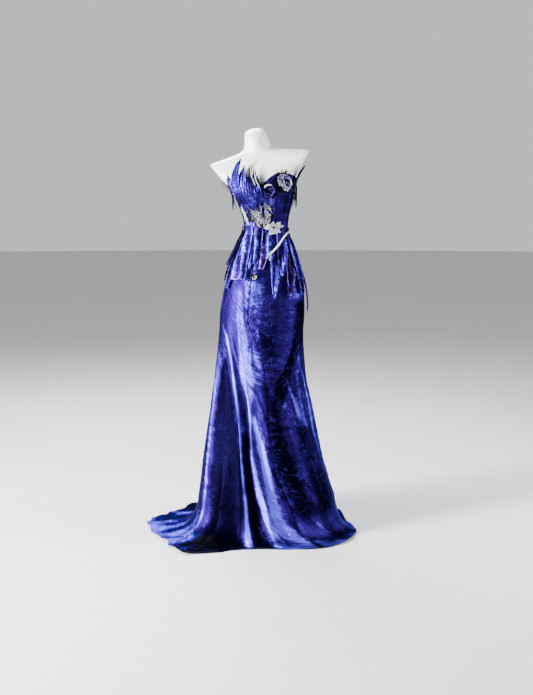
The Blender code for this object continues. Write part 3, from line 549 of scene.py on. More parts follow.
def taffeta(name, colours, rough=(0.39, 0.53), facets=40.0, crinkle=1.0, metal=0.93, gloss=0.5):
    """Crisp shot taffeta on its own cut: slubs shade it between a deep and a full colour, painted shade takes hollows
    to its darkest and painted highlight makes crests paler, broken by slubs and cross wrinkles; the thin edges of
    crinkles go paler as crease wear and painted highlight, and crinkles and weave give its relief."""
    made, tree, shader = material(name)
    darkest, deep, full, pale = colours
    cut = node(tree, "ShaderNodeUVMap", uv_map="cut").outputs["UV"]
    tone_and_painted_light = node(tree, "ShaderNodeAttribute", attribute_name="tone_and_painted_light").outputs["Fac"]
    crush = node(tree, "ShaderNodeAttribute", attribute_name="crush").outputs["Fac"]
    weave = node(tree, "ShaderNodeGroup", {"Cut": cut}, node_tree=SILK_WEAVE).outputs
    inputs = {"Cut": cut, "Facets": facets, "Amount": spread(tree, crush, 0.0, 1.0, 0.45 * crinkle, 1.5 * crinkle)}
    crease = node(tree, "ShaderNodeGroup", inputs, node_tree=TAFFETA_CRINKLE).outputs
    wrinkle = clouds(tree, scaled(tree, cut, (24, 110, 1)), 1.0, 3.0)
    broken = spread(tree, summed(tree, (weave["Shade"], 0.5), (wrinkle, 0.5)), 0.38, 0.62, -0.15, 0.15)
    tone_and_painted_light = maths(tree, "ADD", tone_and_painted_light, maths(tree, "MULTIPLY", broken, spread(tree, tone_and_painted_light, 0.1, 0.5, 0.0, 1.0)))
    shade = summed(tree, (weave["Shade"], 0.7), (clouds(tree, cut, 9.0, 3.0), 0.55))
    body = blended(tree, spread(tree, shade, 0.42, 0.86, 0.0, 1.0), deep, full)
    # Painted shade: low values of the painted light attribute go to the darkest colour. Painted highlight: high
    # values, and crinkle edges partly as crease wear, go to the pale colour.
    sunk = blended(tree, spread(tree, tone_and_painted_light, 0.0, 0.5, 0.98, 0.0), body, darkest)
    lines = maths(tree, "MULTIPLY", maths(tree, "MULTIPLY", crease["Lines"], crush), 0.21)
    lifted = maths(tree, "MAXIMUM", lines, spread(tree, tone_and_painted_light, 0.5, 1.0, 0.0, 0.85))
    fine = bumped(tree, weave["Height"], 0.5, 0.12 * MM)
    fed(tree, shader, {
        "Base Color": blended(tree, lifted, sunk, pale),
        "Roughness": spread(tree, shade, 0.4, 0.9, *rough),
        "Normal": bumped(tree, crease["Height"], 0.9, 1.4 * MM, fine),
        "Metallic": metal,
        "Specular IOR Level": gloss,
        "Specular Tint": full,
    })
    return made


FINISH = {"blue": (taffeta("blue_taffeta_cloth", TAFFETA_BLUE), "blue_taffeta")}


def walled(points, thick):
    """Outer and inner points of a sheet and its faces: the grid, its offset along the normals, and the four rims."""
    rows, columns = points.shape[:2]
    count = rows * columns
    inner = points - grid_normals(points) * thick
    face = quads(rows, columns)
    index = np.arange(count).reshape(rows, columns)
    loop = np.concatenate([index[0], index[1:, -1], index[-1, -2::-1], index[-2:0:-1, 0]])
    following = np.roll(loop, -1)
    rim = np.stack([following, loop, loop + count, following + count], axis=-1)
    return np.concatenate([points.reshape(-1, 3), inner.reshape(-1, 3)]), [face, face[:, ::-1] + count, rim]


def cut_of(points):
    """Each point's place on the flat cut, in metres: how far it is along its row from the row's middle, and along its
    column from the first row. Also the cut's width, length and area."""
    across = np.linalg.norm(np.diff(points, axis=1), axis=-1)
    along = np.linalg.norm(np.diff(points, axis=0), axis=-1)
    u = np.pad(np.cumsum(across, axis=1), ((0, 0), (1, 0)))
    v = np.pad(np.cumsum(along, axis=0), ((1, 0), (0, 0)))
    one = np.cross(points[1:, 1:] - points[:-1, :-1], points[1:, :-1] - points[:-1, 1:])
    area = np.linalg.norm(one, axis=-1).sum() / 2
    return np.stack([u - u[:, -1:] / 2, v], axis=-1), (u[:, -1].max(), v[-1].max(), area)


def cloth(name, finish, laid, nodes, thick=SHELL, tone=(1.0, 0.0), crush=0.5):
    """A sheet, or strips of it as one piece: a thin closed wall under each grid of outer points, with its cut as its
    UV map. Each grid comes with its tone and painted light, painted shade below the middle value and painted
    highlight above it, which is stored times the first and plus the second number of the tone, next to how crushed
    the cloth is. Strips are cut side by side; a size of the cut, a fifth wider in all than their mean widths, is
    worked out but not used."""
    walls, flat, sizes = [], [], []
    marks = {"tone_and_painted_light": [], "crush": []}
    for number, (grid, tone_and_painted_light) in enumerate(laid):
        walls.append(walled(grid, thick))
        cut, size = cut_of(grid)
        flat.append(np.tile(cut.reshape(-1, 2) + [0.11 * number, 0.07 * number], (2, 1)))
        sizes.append(size)
        for label, value in (("tone_and_painted_light", tone[0] * tone_and_painted_light + tone[1]), ("crush", crush)):
            marks[label].append(np.tile(np.broadcast_to(value, grid.shape[:2]).reshape(-1), 2))
    made = added(name, walls, *FINISH[finish])
    mesh = made.data
    corner = np.empty(len(mesh.loops), int)
    mesh.loops.foreach_get("vertex_index", corner)
    layer = mesh.uv_layers.new(name="cut")
    layer.data.foreach_set("uv", np.concatenate(flat)[corner].astype(np.float32).ravel())
    for label, values in marks.items():
        stored = mesh.attributes.new(label, "FLOAT", "POINT")
        stored.data.foreach_set("value", np.clip(np.concatenate(values), 0, 1).astype(np.float32))
    width, length, area = sizes[0]
    if len(sizes) > 1:
        area = sum(one for _, _, one in sizes)
        means = sum(one / long for _, long, one in sizes)
        width, length = 1.2 * means, area / means
    if nodes:
        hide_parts(*nodes)
    size = [round(max(side, LEAST_SIDE) + 0.0005, 3) for side in (width, length)]


def bodice_top(angle):
    """Height of the sweetheart edge at an angle."""
    return read(BODICE_TOP, degrees(angle))[..., 0]


def bodice_relief(around, heights, start, end, bones):
    """How far a panel stands off its rest: a rounded bone channel with a stitched groove on each side of it, drag
    wrinkles between the bones, dipped and puckered seams, and a rolled top edge with its row of stitches."""
    from_top = bodice_top(around) - heights
    across = around * BODICE_REACH
    out = np.zeros(heights.shape)
    for bone in bones:
        off = (around - bone * DEG) * BODICE_REACH
        out += BONE["out"] * bell(off, BONE["half"], 4)
        out -= BONE["groove"] * bell(np.abs(off) - BONE["groove_at"] * BONE["half"], BONE["groove_half"])
    out += DRAG["out"] * noise(across / DRAG["across"] + DRAG["skew"] * heights, heights / DRAG["up"], 11)
    out += DRAG["long_out"] * noise(across / DRAG["long_across"], heights / DRAG["long_up"], 12)
    for edge in (start, end):
        off = (around - edge * DEG) * BODICE_REACH
        out -= PUCKER["in"] * bell(off, PUCKER["half"])
        out += PUCKER["out"] * bell(off, PUCKER["reach"]) * noise(heights / PUCKER["apart"], edge + 0 * heights, 13)
    out += TOP_EDGE["out"] * bell(from_top, TOP_EDGE["half"])
    out -= TOP_EDGE["in"] * bell(from_top - TOP_EDGE["stitch"], TOP_EDGE["stitch_half"])
    return np.clip(out, *BODICE_RELIEF)


def bodice():
    """Panels of the bodice: the form's skin moved out by the panel's relief. Painted shade darkens those to the
    right, painted highlight lies where the relief stands out and painted shade where it dips.
    """
    low = WAIST_HEIGHT + SEAM_GAP / 2
    share = np.linspace(0, 1, BODICE_ROWS)[:, None]
    up = 0.3 * smooth(share) + 0.7 * share
    tone = BODICE_PAINTED_LIGHT
    for name, start, end, columns, bones in BODICE_PANELS:
        angles = np.linspace(start, end, columns + 1) * DEG
        heights = low + up * (bodice_top(angles) - low)
        around = np.broadcast_to(angles, heights.shape)
        out = bodice_relief(around, heights, start, end, bones)
        grid = moved_out(skin, around, heights, CLOTH + FORM_GAP + out)
        # Painted shade on the panels to the right, painted highlight and shade on the relief.
        shaded = tone["shaded"] * smooth((around / DEG - tone["from"]) / tone["over"]) * (around < math.pi)
        tone_and_painted_light = tone["level"] - shaded + tone["fold"] * np.clip(out / tone["height"], -1, 1)
        cloth(name + "_panel", "blue", [(grid, tone_and_painted_light)], [name], crush=0.3)


bodice()

# Skirt. Five gores of the same taffeta that hug the hips, flare from the knee and lie on the floor as a small train.
# Pressed ridges run down from the left hip, one broad swoop turns to the right hem, and the front gore is crushed.
SHIN_HEIGHT = 0.14
SKIRT = (
    # height, centre_x, centre_y, roll, left, right, front, back, square
    (1.120, 0.016, -0.001, -5.0, 0.106, 0.106, 0.086, 0.089, 2.1),
    (1.040, 0.012, 0.002, -4.0, 0.137, 0.137, 0.102, 0.111, 2.1),
    (0.960, 0.006, 0.003, -2.0, 0.153, 0.158, 0.112, 0.125, 2.1),
    (0.880, 0.002, 0.003, -0.5, 0.165, 0.165, 0.117, 0.131, 2.1),
    (0.800, 0.000, 0.002, 0.0, 0.169, 0.163, 0.120, 0.136, 2.1),
    (0.700, 0.000, 0.000, 0.0, 0.178, 0.167, 0.127, 0.147, 2.1),
    (0.600, 0.000, 0.000, 0.0, 0.190, 0.178, 0.136, 0.164, 2.1),
    (0.500, 0.000, 0.000, 0.0, 0.205, 0.201, 0.148, 0.187, 2.0),
    (0.400, 0.000, 0.000, 0.0, 0.221, 0.221, 0.163, 0.219, 2.0),
    (0.300, 0.000, 0.000, 0.0, 0.238, 0.243, 0.183, 0.257, 2.0),
    (0.200, 0.000, 0.000, 0.0, 0.251, 0.272, 0.207, 0.298, 2.0),
    (0.140, 0.000, 0.000, 0.0, 0.260, 0.292, 0.224, 0.327, 2.0),
)
HEM = (
    # angle, distance from the pole
    (-180, 0.590), (-160, 0.545), (-140, 0.450), (-126, 0.425), (-114, 0.436), (-98, 0.466), (-84, 0.443),
    (-66, 0.420), (-50, 0.428), (-40, 0.440), (-32, 0.395), (-22, 0.325), (0, 0.288), (21, 0.308), (40, 0.352),
    (57, 0.376), (80, 0.380), (107, 0.366), (126, 0.405), (145, 0.480), (163, 0.555), (180, 0.590),
)
LINE_HEIGHTS = (0.84, 0.70, 0.56, 0.32, 0.14, 0.0)
IN_HEIGHTS = (0.84, 0.56, 0.32, 0.14)
LINES = (
    # name, angles at LINE_HEIGHTS, mm in at IN_HEIGHTS, how sharp its crest is
    ("side_left", (-96, -97, -98, -98, -98, -98), (0, 3, 6, 8), 0.3),
    ("left_ridge", (-80, -80, -79, -72, -67, -60), (0, 0, 0, 0), 0.8),
    ("left_hollow", (-74, -67, -60, -56, -56, -50), (0, 14, 22, 26), 0.3),
    ("left_rib", (-70, -62, -53, -48, -45, -40), (0, 17, 23, 12), 0.7),
    ("left_valley", (-66, -56, -46, -37, -29, -24), (0, 14, 27, 30), 0.3),
    ("hip_ridge", (-61, -48, -37, -25, -15, -8), (0, 0, 0, 0), 0.9),
    ("hip_valley", (-55, -40, -30, -16, -6, 1), (0, 11, 20, 26), 0.3),
    ("sweep_rise", (-49, -33, -23, -9, 5, 17), (0, 4, 3, 4), 0.6),
    ("sweep_dip", (-39, -21, -12, 1, 15, 29), (0, 3, 7, 9), 0.3),
    ("front_left_seam", (-25, 2, 7, 12, 27, 44), (0, -5, -8, -8), 0.4),
    ("front_hollow", (8, 18, 20, 29, 41, 55), (0, 9, 8, 6), 0.3),
    ("front_rib", (42, 36, 34, 45, 54, 63), (0, 8, 5, 3), 0.4),
    ("front_right_seam", (72, 50, 47, 60, 67, 73), (0, 12, 12, 12), 0.3),
    ("right_ridge", (79, 62, 58, 69, 74, 81), (0, -2, 0, 0), 0.7),
    ("right_hollow", (85, 76, 72, 79, 82, 89), (0, 7, 8, 9), 0.3),
    ("side_right", (96, 92, 90, 92, 94, 98), (0, 0, 0, 0), 0.4),
    ("back_right_dip", (107, 105, 104, 105, 106, 108), (0, 8, 14, 20), 0.3),
    ("back_right_rib", (120, 119, 118, 119, 119, 120), (0, 0, 0, 0), 0.7),
    ("back_right_fold", (134, 134, 134, 134, 134, 134), (0, 9, 17, 24), 0.3),
    ("back_right_ridge", (149, 149, 149, 149, 149, 149), (0, 0, 0, 0), 0.6),
    ("back_right_inner", (164, 164, 164, 164, 164, 164), (0, 8, 18, 26), 0.3),
    ("back_centre", (180, 180, 180, 180, 180, 180), (0, 0, 0, 0), 0.5),
    ("back_left_inner", (197, 197, 197, 197, 197, 197), (0, 9, 19, 26), 0.3),
    ("back_left_ridge", (213, 213, 213, 213, 213, 213), (0, 0, 0, 0), 0.8),
    ("back_left_fold", (228, 228, 228, 228, 228, 228), (0, 8, 16, 22), 0.3),
    ("back_left_rib", (241, 241, 241, 242, 242, 242), (0, 0, 0, 0), 0.6),
    ("back_left_dip", (253, 253, 253, 252, 252, 252), (0, 7, 13, 18), 0.3),
)
GORES = (
    # node, its first and last line
    ("skirt_front", "front_left_seam", "front_right_seam"),
    ("skirt_right_front", "front_right_seam", "side_right"),
    ("skirt_back_right", "side_right", "back_centre"),
    ("skirt_back_left", "back_centre", "side_left"),
    ("skirt_left_front", "side_left", "front_left_seam"),
)
STEPS_PER_LINE = 12
LINE_TURN = 12 * DEG
FALL_ROWS = 176
FOOT_ROWS = 42
RIDGE_POWER = 2.2
# How far the hem has to be out of the column for the folds to end and for the cloth to lie flat, the powers by which
# flat cloth goes out later and drops sooner, and how high it ripples
FLARE = {"folds_end": 0.12, "folds_kept": 0.9, "full": 0.14, "reach": 0.5, "drop": 2.2, "ripple": 14 * MM}
# Long folds pressed by hand: the places they pass, each an angle and a height, then mm wide and mm out
FOLDS = (
    (((-79, 0.62), (-76, 0.45), (-71, 0.32), (-66, 0.16), (-64, 0.08), (-50, 0.0)), 5.0, 3.0),
    (((-78, 0.14), (-66, 0.085), (-60, 0.03), (-56, 0.0)), 6.0, 3.5),
    (((-74, 0.84), (-64, 0.79), (-57, 0.733), (-49.5, 0.657), (-45.4, 0.58), (-40.6, 0.512), (-38, 0.46)), 6.0, 3.0),
    (((-40, 0.48), (-32, 0.43), (-25.6, 0.319), (-19, 0.209), (-13, 0.10), (-7, 0.012)), 5.0, 4.5),
    (((-58, 0.80), (-54.3, 0.799), (-45.9, 0.727), (-38.6, 0.667), (-31.5, 0.621), (-23.6, 0.565)), 4.5, 2.6),
    (((-29, 0.469), (-22.6, 0.392), (-14.6, 0.317), (-9.6, 0.242), (-4.2, 0.169), (1.2, 0.127), (9.7, 0.084),
      (19.2, 0.05), (31.5, 0.028)), 5.5, 3.6),
    (((-47, 0.93), (-41, 0.82), (-38.5, 0.774), (-35.5, 0.679), (-29.4, 0.602), (-21.6, 0.546),
      (-14.2, 0.451)), 6.0, 2.4),
    (((-30, 0.63), (-16, 0.592), (-6, 0.566), (0.3, 0.529), (6, 0.491), (8.3, 0.435)), 5.0, -2.6),
    (((-12, 0.50), (-4, 0.42), (1.5, 0.38), (6.5, 0.33), (12, 0.27)), 4.0, 2.2),
    (((10, 0.31), (15.4, 0.247), (20.3, 0.184), (26.3, 0.124), (34.3, 0.072), (44.2, 0.023)), 4.5, -3.2),
    (((13, 0.31), (18.4, 0.247), (23.3, 0.184), (29.3, 0.124), (37.3, 0.072), (47.2, 0.023)), 4.0, 2.4),
    (((-53.3, 0.30), (-50, 0.24), (-46.6, 0.18)), 5.0, 3.0),
    (((-52.2, 0.17), (-46.5, 0.082), (-32.2, 0.004)), 4.0, 3.4),
    (((52, 0.74), (58.8, 0.693), (68.9, 0.647), (77.6, 0.616), (78, 0.549), (77.2, 0.482)), 4.0, 3.0),
    (((78, 0.50), (76.6, 0.411), (74.2, 0.314), (78.9, 0.25), (82, 0.166), (86, 0.08)), 5.0, 2.6),
    (((44, 0.60), (47.1, 0.575), (51, 0.54), (54.3, 0.493), (56, 0.46)), 3.5, 3.0),
    (((69.5, 0.34), (68.8, 0.318), (64.8, 0.262), (65.7, 0.223), (69, 0.17)), 4.0, 2.4),
    (((-88, 0.60), (-89, 0.42), (-86, 0.25), (-84, 0.10)), 9.0, 2.0),
    (((112, 0.92), (116, 0.70), (119, 0.46), (119, 0.25), (121, 0.05)), 6.0, 3.0),
    (((128, 0.62), (136, 0.44), (138, 0.25), (144, 0.06)), 8.0, -3.0),
    (((150, 0.88), (148, 0.60), (150, 0.36), (152, 0.10)), 6.0, 3.4),
    (((165, 0.50), (160, 0.30), (166, 0.06)), 7.0, 2.6),
    (((200, 0.60), (196, 0.40), (192, 0.16), (196, 0.04)), 7.0, 2.4),
    (((210, 0.94), (214, 0.70), (213, 0.40), (211, 0.12)), 6.0, 3.6),
    (((222, 0.52), (229, 0.36), (233, 0.18), (231, 0.03)), 8.0, -2.8),
    (((246, 0.86), (242, 0.62), (242, 0.36), (238, 0.12)), 6.0, 3.0),
    (((258, 0.48), (255, 0.30), (262, 0.10)), 8.0, 2.2),
)
# Short creases: angle and height of one end and of the other, mm wide, mm out
CREASES = (
    (-33, 0.955, -7, 0.902, 3.6, 2.4), (-20, 0.985, -4, 0.955, 4.0, 1.6), (-11, 0.862, 2, 0.826, 3.4, 1.8),
    (1, 0.827, 18, 0.818, 3.2, 2.0), (18, 0.872, 18, 0.800, 3.2, 2.0), (19, 0.800, 17, 0.752, 3.6, -1.8),
    (-14, 0.835, -2, 0.770, 3.2, 1.6), (-4, 0.890, 12, 0.905, 3.6, -1.6), (26, 0.905, 44, 0.888, 3.6, 1.8),
    (30, 0.850, 30, 0.772, 3.2, 1.5), (38, 0.838, 52, 0.806, 4.0, -2.0), (22, 0.792, 42, 0.782, 3.0, 1.4),
    (-4, 0.806, 14, 0.778, 3.0, -1.6), (0, 0.750, 34, 0.752, 3.0, -2.4), (6, 0.736, 44, 0.730, 2.8, 2.0),
    (14, 0.716, 46, 0.708, 3.0, -2.6), (10, 0.700, 36, 0.694, 2.6, 1.6), (4, 0.660, 30, 0.654, 3.0, -2.8),
    (6, 0.642, 26, 0.636, 2.8, 1.8), (16, 0.676, 44, 0.680, 2.8, 1.6), (5, 0.610, 27, 0.604, 3.0, -1.8),
    (8, 0.585, 22, 0.560, 3.2, 1.6), (18, 0.560, 40, 0.590, 3.6, -2.0), (-21, 0.690, 0, 0.652, 4.0, -2.6),
    (-19, 0.742, -18, 0.655, 3.0, 2.2), (-17, 0.700, 0, 0.716, 4.0, 1.6), (-14, 0.600, 2, 0.560, 4.0, -1.8),
    (9, 0.346, 32, 0.396, 3.4, -3.6), (12, 0.368, 26, 0.410, 3.2, 2.0), (10, 0.326, 24, 0.300, 3.6, -1.8),
    (16, 0.455, 32, 0.480, 3.6, 1.6), (12, 0.500, 28, 0.478, 3.4, -1.6), (30, 0.440, 46, 0.430, 3.6, -1.8),
    (34, 0.520, 44, 0.470, 3.4, 1.8), (22, 0.300, 34, 0.250, 4.0, 1.8), (36, 0.330, 50, 0.300, 4.0, -2.0),
    (30, 0.210, 44, 0.160, 4.0, 1.8), (44, 0.240, 56, 0.180, 4.0, -1.8), (48, 0.120, 62, 0.070, 4.0, 2.2),
    (57, 0.650, 57, 0.606, 2.8, 2.8), (60, 0.668, 62, 0.630, 2.8, 2.2), (62, 0.750, 66, 0.690, 3.4, 2.0),
    (70, 0.580, 66, 0.520, 3.2, 1.8), (60, 0.470, 66, 0.400, 3.4, 2.0), (80, 0.700, 84, 0.620, 4.0, 1.6),
    (84, 0.520, 86, 0.420, 4.0, 1.8), (84, 0.330, 80, 0.240, 4.0, -1.8), (72, 0.140, 86, 0.060, 4.4, 2.4),
    (12, 0.052, 40, 0.046, 3.2, -1.8), (26, 0.070, 48, 0.040, 3.2, 1.8), (20, 0.100, 38, 0.090, 3.2, 1.4),
    (-41, 0.050, -20, 0.006, 4.4, 3.2), (-30, 0.046, -12, 0.030, 4.2, -2.8), (7, 0.046, 23, 0.006, 4.4, 3.4),
    (-14, 0.040, -2, 0.008, 4.2, 2.6), (-70, 0.240, -60, 0.180, 4.0, 1.4), (-60, 0.140, -44, 0.090, 4.0, -1.8),
    (-38, 0.420, -33, 0.330, 4.0, 1.4), (-44, 0.360, -37, 0.330, 3.6, -1.2), (-47, 0.300, -40, 0.240, 3.6, 1.4),
    (-96, 0.700, -84, 0.640, 4.0, 1.4), (-93, 0.330, -82, 0.250, 4.4, 1.6), (-78, 0.055, -66, 0.020, 4.6, 3.2),
    (-92, 0.080, -84, 0.030, 4.6, 3.0), (-104, 0.060, -98, 0.020, 4.6, 2.8), (-88, 0.050, -74, 0.046, 4.0, -2.6),
    (102, 0.880, 128, 0.850, 4.0, 1.8), (108, 0.800, 122, 0.742, 3.6, -2.0), (126, 0.700, 142, 0.660, 3.6, 2.0),
    (140, 0.810, 158, 0.790, 3.8, 1.6), (154, 0.690, 172, 0.660, 3.6, -2.2), (162, 0.760, 176, 0.730, 3.2, 1.8),
    (184, 0.720, 202, 0.752, 3.4, -1.8), (186, 0.640, 206, 0.600, 3.6, 2.0), (200, 0.850, 222, 0.826, 3.8, 1.8),
    (218, 0.760, 236, 0.700, 3.8, -2.0), (232, 0.640, 248, 0.620, 3.8, 1.8), (246, 0.760, 262, 0.740, 3.8, 1.6),
    (112, 0.420, 126, 0.370, 4.2, 1.8), (142, 0.360, 158, 0.300, 4.2, -2.2), (170, 0.300, 186, 0.270, 4.2, 2.2),
    (202, 0.300, 220, 0.330, 4.2, -2.0), (236, 0.280, 252, 0.220, 4.2, 2.0), (118, 0.090, 134, 0.040, 4.8, 3.0),
    (150, 0.080, 166, 0.030, 4.8, 3.4), (176, 0.060, 190, 0.020, 4.8, 3.0), (206, 0.080, 222, 0.030, 4.8, 3.2),
    (232, 0.060, 248, 0.020, 4.8, 3.0),
)
FOLD_POWER = 1.4
FOLD_ROUND = {"long": 1.2 * MM, "short": 0.8 * MM}
SEAM = {"in": 1.3 * MM, "half": 1.8 * MM, "out": 1.0 * MM, "reach": 9 * MM, "apart": 11 * MM}
# Crushed places: the middle's angle and height, the half extents of both, and how crushed, from 0 to 1
CRUSHED = (
    (10, 0.86, 44, 0.13, 0.95), (24, 0.70, 30, 0.13, 0.9), (27, 0.48, 24, 0.16, 0.75), (36, 0.24, 26, 0.14, 0.6),
    (66, 0.56, 18, 0.20, 0.75), (78, 0.22, 18, 0.14, 0.6), (-12, 0.60, 14, 0.10, 0.5), (-90, 0.10, 30, 0.09, 0.7),
    (20, 0.05, 40, 0.05, 0.5), (118, 0.78, 26, 0.16, 0.7), (160, 0.70, 30, 0.18, 0.8), (214, 0.74, 34, 0.18, 0.7),
    (-98, 0.01, 36, 0.05, 0.8), (-40, 0.01, 24, 0.03, 0.6), (150, 0.01, 60, 0.05, 0.8), (215, 0.01, 40, 0.05, 0.8),
    (140, 0.10, 40, 0.12, 0.7), (200, 0.12, 40, 0.12, 0.7), (245, 0.10, 30, 0.12, 0.7), (250, 0.66, 20, 0.14, 0.5),
)
FACETS = (
    # mm out, metres across and up, sway across and up, its size in metres, its seed
    (2.2, 0.050, 0.040, 0.4, 0.0, 0.09, 41),
    (0.9, 0.024, 0.020, 0.0, 0.3, 0.05, 43),
)
FACET_LEVEL = 0.35
WRINKLES = {"out": 0.8 * MM, "across": 55 * MM, "up": 13 * MM, "least": 0.12}
HILLS = {"out": 1.4 * MM, "across": 0.11, "up": 0.16}
HEM_WAVES = (
    # mm up, degrees apart, how many from the column to the edge, seed
    (13, 7.5, 2.2, 51),
    (6, 2.6, 5, 52),
)
HEM_SCALLOPS = (
    # mm out, degrees apart, seed
    (8, 5.0, 53),
    (4.8, 2.1, 54),
)
# Painted light on the gores: a middle level, mm out for one step of painted highlight, mm in for one of painted shade,
# the lift of cloth lying on the floor, and how strong the random painted patches on the train are
GORE_PAINTED_LIGHT = {"level": 0.50, "fold": 8 * MM, "hollow": 75 * MM, "lying": 0.06, "painted_patches": 0.50}
# Bands of painted highlight and painted shade on the gores: the places their middles pass, each an angle, a height
# and the half width in degrees, then how much paler as painted highlight or, below zero, darker as painted shade
PAINTED_LIGHT_BANDS = (
    (((-46, 0.97, 5), (-42, 0.93, 5), (-38, 0.85, 5), (-32, 0.78, 8), (-28, 0.70, 8), (-21, 0.62, 9),
      (-20, 0.545, 4.5),
      (-19, 0.46, 3)), 0.34),
    (((-16, 0.75, 2), (-9, 0.70, 4), (-3, 0.665, 4)), 0.20),
    (((-46, 1.01, 9), (-43, 0.94, 8), (-40, 0.88, 6)), -0.34),
    (((-12, 1.00, 13), (-9, 0.92, 14), (-5, 0.86, 8)), 0.18),
    (((-68, 0.86, 2), (-72, 0.77, 2.5), (-74, 0.69, 3), (-77, 0.61, 3), (-75, 0.53, 4), (-73, 0.42, 4),
      (-70, 0.30, 4),
      (-64.5, 0.185, 3), (-61, 0.09, 3), (-54, 0.02, 3)), 0.06),
    (((-30, 0.60, 3), (-26, 0.52, 4), (-22, 0.44, 4), (-18, 0.36, 3)), -0.25),
    (((-62, 0.80, 2), (-58, 0.76, 4), (-51, 0.70, 3), (-45, 0.62, 2.5), (-39, 0.545, 3), (-31, 0.43, 3),
      (-25.5, 0.31, 3),
      (-21, 0.20, 2.5), (-15, 0.11, 2.5), (-10, 0.03, 3)), 0.34),
    (((-64, 0.70, 3), (-62, 0.62, 7), (-60, 0.54, 10.5), (-55, 0.42, 15), (-48, 0.31, 19), (-43.5, 0.19, 18.5),
      (-38, 0.10, 18),
      (-32, 0.01, 16)), -0.76),
    (((-68, 0.66, 2), (-68, 0.55, 4), (-66, 0.42, 3)), -0.20),
    (((-24, 0.42, 4), (-19, 0.31, 5), (-13, 0.20, 6), (-6, 0.11, 7), (3, 0.03, 10)), -0.55),
    (((-19, 0.50, 2.5), (-17, 0.42, 2.5), (-13.5, 0.34, 2), (-8, 0.27, 2), (-3, 0.20, 2), (4, 0.13, 2.4),
      (13, 0.075, 4)),
     0.42),
    (((-13, 0.48, 4), (-9, 0.45, 4), (-3, 0.38, 4), (4, 0.29, 4), (9, 0.20, 4.5), (15, 0.12, 6), (23, 0.085, 9),
      (33, 0.05, 10)), 0.56),
    (((0, 0.46, 2), (6, 0.39, 2), (9.5, 0.31, 2), (17, 0.25, 2), (22, 0.19, 2), (31, 0.11, 2), (40, 0.06, 2)), -0.34),
    (((3, 0.60, 8), (12, 0.53, 12), (17, 0.45, 14), (22, 0.37, 14), (27, 0.29, 13), (34, 0.20, 12),
      (44, 0.12, 12)), -0.46),
    (((-63, 1.00, 12), (-62, 0.92, 14), (-56, 0.82, 15), (-50, 0.74, 10), (-44, 0.64, 6)), -0.26),
    (((-74, 0.12, 2.5), (-72, 0.05, 3), (-70, 0.0, 3)), 0.36),
    (((-86, 0.10, 3), (-85, 0.05, 3), (-84, 0.0, 3)), 0.34),
    (((-97, 0.06, 3), (-96, 0.03, 4), (-96, 0.0, 4)), 0.28),
    (((66, 0.93, 12), (70, 0.85, 13), (69, 0.78, 14), (57, 0.72, 8), (45, 0.66, 8), (34, 0.60, 11),
      (30, 0.54, 12)), -0.56),
    (((12, 0.97, 24), (10, 0.85, 27), (16, 0.74, 26), (22, 0.64, 18)), -0.07),
    (((8, 0.80, 10), (13, 0.73, 15), (17, 0.66, 17), (19, 0.58, 14)), -0.24),
    (((62, 0.71, 2), (68, 0.67, 2.5), (77, 0.62, 3), (79, 0.55, 3), (78, 0.48, 3), (77, 0.38, 3)), 0.30),
    (((44, 0.60, 2), (52, 0.54, 2.5), (56, 0.47, 2.5)), 0.26),
    (((60, 0.44, 12), (62, 0.32, 14), (66, 0.20, 14), (70, 0.12, 12)), -0.36),
    (((88, 0.90, 4), (90, 0.84, 3)), 0.25),
    (((80, 0.40, 3), (84, 0.28, 4), (88, 0.16, 4), (90, 0.06, 5)), 0.22),
    (((-44, 0.055, 6), (-40, 0.02, 9), (-38, 0.0, 9)), 0.42),
    (((14, 0.042, 7), (16, 0.012, 12)), 0.44),
    (((-55, 0.17, 1.2), (-50, 0.10, 1.2), (-44, 0.02, 1.2)), 0.36),
    (((60, 0.035, 8), (66, 0.0, 14)), 0.26),
    (((112, 0.95, 4), (117, 0.70, 5), (119, 0.45, 5), (121, 0.10, 5)), 0.26),
    (((134, 0.66, 8), (136, 0.45, 10), (138, 0.25, 11), (142, 0.05, 11)), -0.32),
    (((150, 0.95, 5), (149, 0.60, 5), (151, 0.35, 5), (153, 0.06, 6)), 0.24),
    (((166, 0.60, 6), (164, 0.35, 8), (166, 0.06, 9)), -0.30),
    (((198, 0.62, 6), (196, 0.40, 8), (194, 0.10, 9)), -0.30),
    (((212, 0.95, 4), (214, 0.70, 5), (213, 0.40, 5), (211, 0.08, 6)), 0.28),
    (((228, 0.60, 7), (229, 0.36, 9), (232, 0.06, 10)), -0.32),
    (((243, 0.90, 4), (242, 0.60, 4), (242, 0.35, 5), (238, 0.06, 6)), 0.26),
)
BAND_EDGE = {"uneven": 0.22, "up": 16 * MM, "round": 9}


def faded(height, low, high, over, rise, fall, floor):
    """1 between two heights with level-ended falls past both, but none at a lower end that is near the floor."""
    share = smooth((high - height + over) / fall)
    return share if low < floor else share * smooth((height - low + over) / rise)


def painted_band_light(angle, height):
    """How much painted highlight, or below zero painted shade, the bands put on the cloth: each band's share times a
    flat-topped curve of the distance from its middle.
    """
    turned = degrees(angle, -110)
    uneven = 1 + BAND_EDGE["uneven"] * noise(height / BAND_EDGE["up"], turned / BAND_EDGE["round"], 23)
    paler = np.zeros(angle.shape)
    for path, share in PAINTED_LIGHT_BANDS:
        rows = sorted((h, a, w) for a, h, w in path)
        level, middle, wide = (np.array([row[k] for row in rows]) for k in range(3))
        off, half = turned - np.interp(height, level, middle), np.interp(height, level, wide) * uneven
        paler += share * bell(off, half, 4) * faded(height, level[0], level[-1], 0.012, 0.03, 0.03, 0.07)
    return paler


def skirt_rings():
    """The skirt's sections with the waist seam's own on top, where they meet the bodice."""
    centre_x, centre_y, roll, half_width, front, back, square, _ = read(BODY, WAIST_HEIGHT)
    out = CLOTH + FORM_GAP
    side = half_width + out
    return SKIRT + ((WAIST_HEIGHT, centre_x, centre_y, roll, side, side, front + out, back + out, square),)


SKIRT_RINGS = skirt_rings()


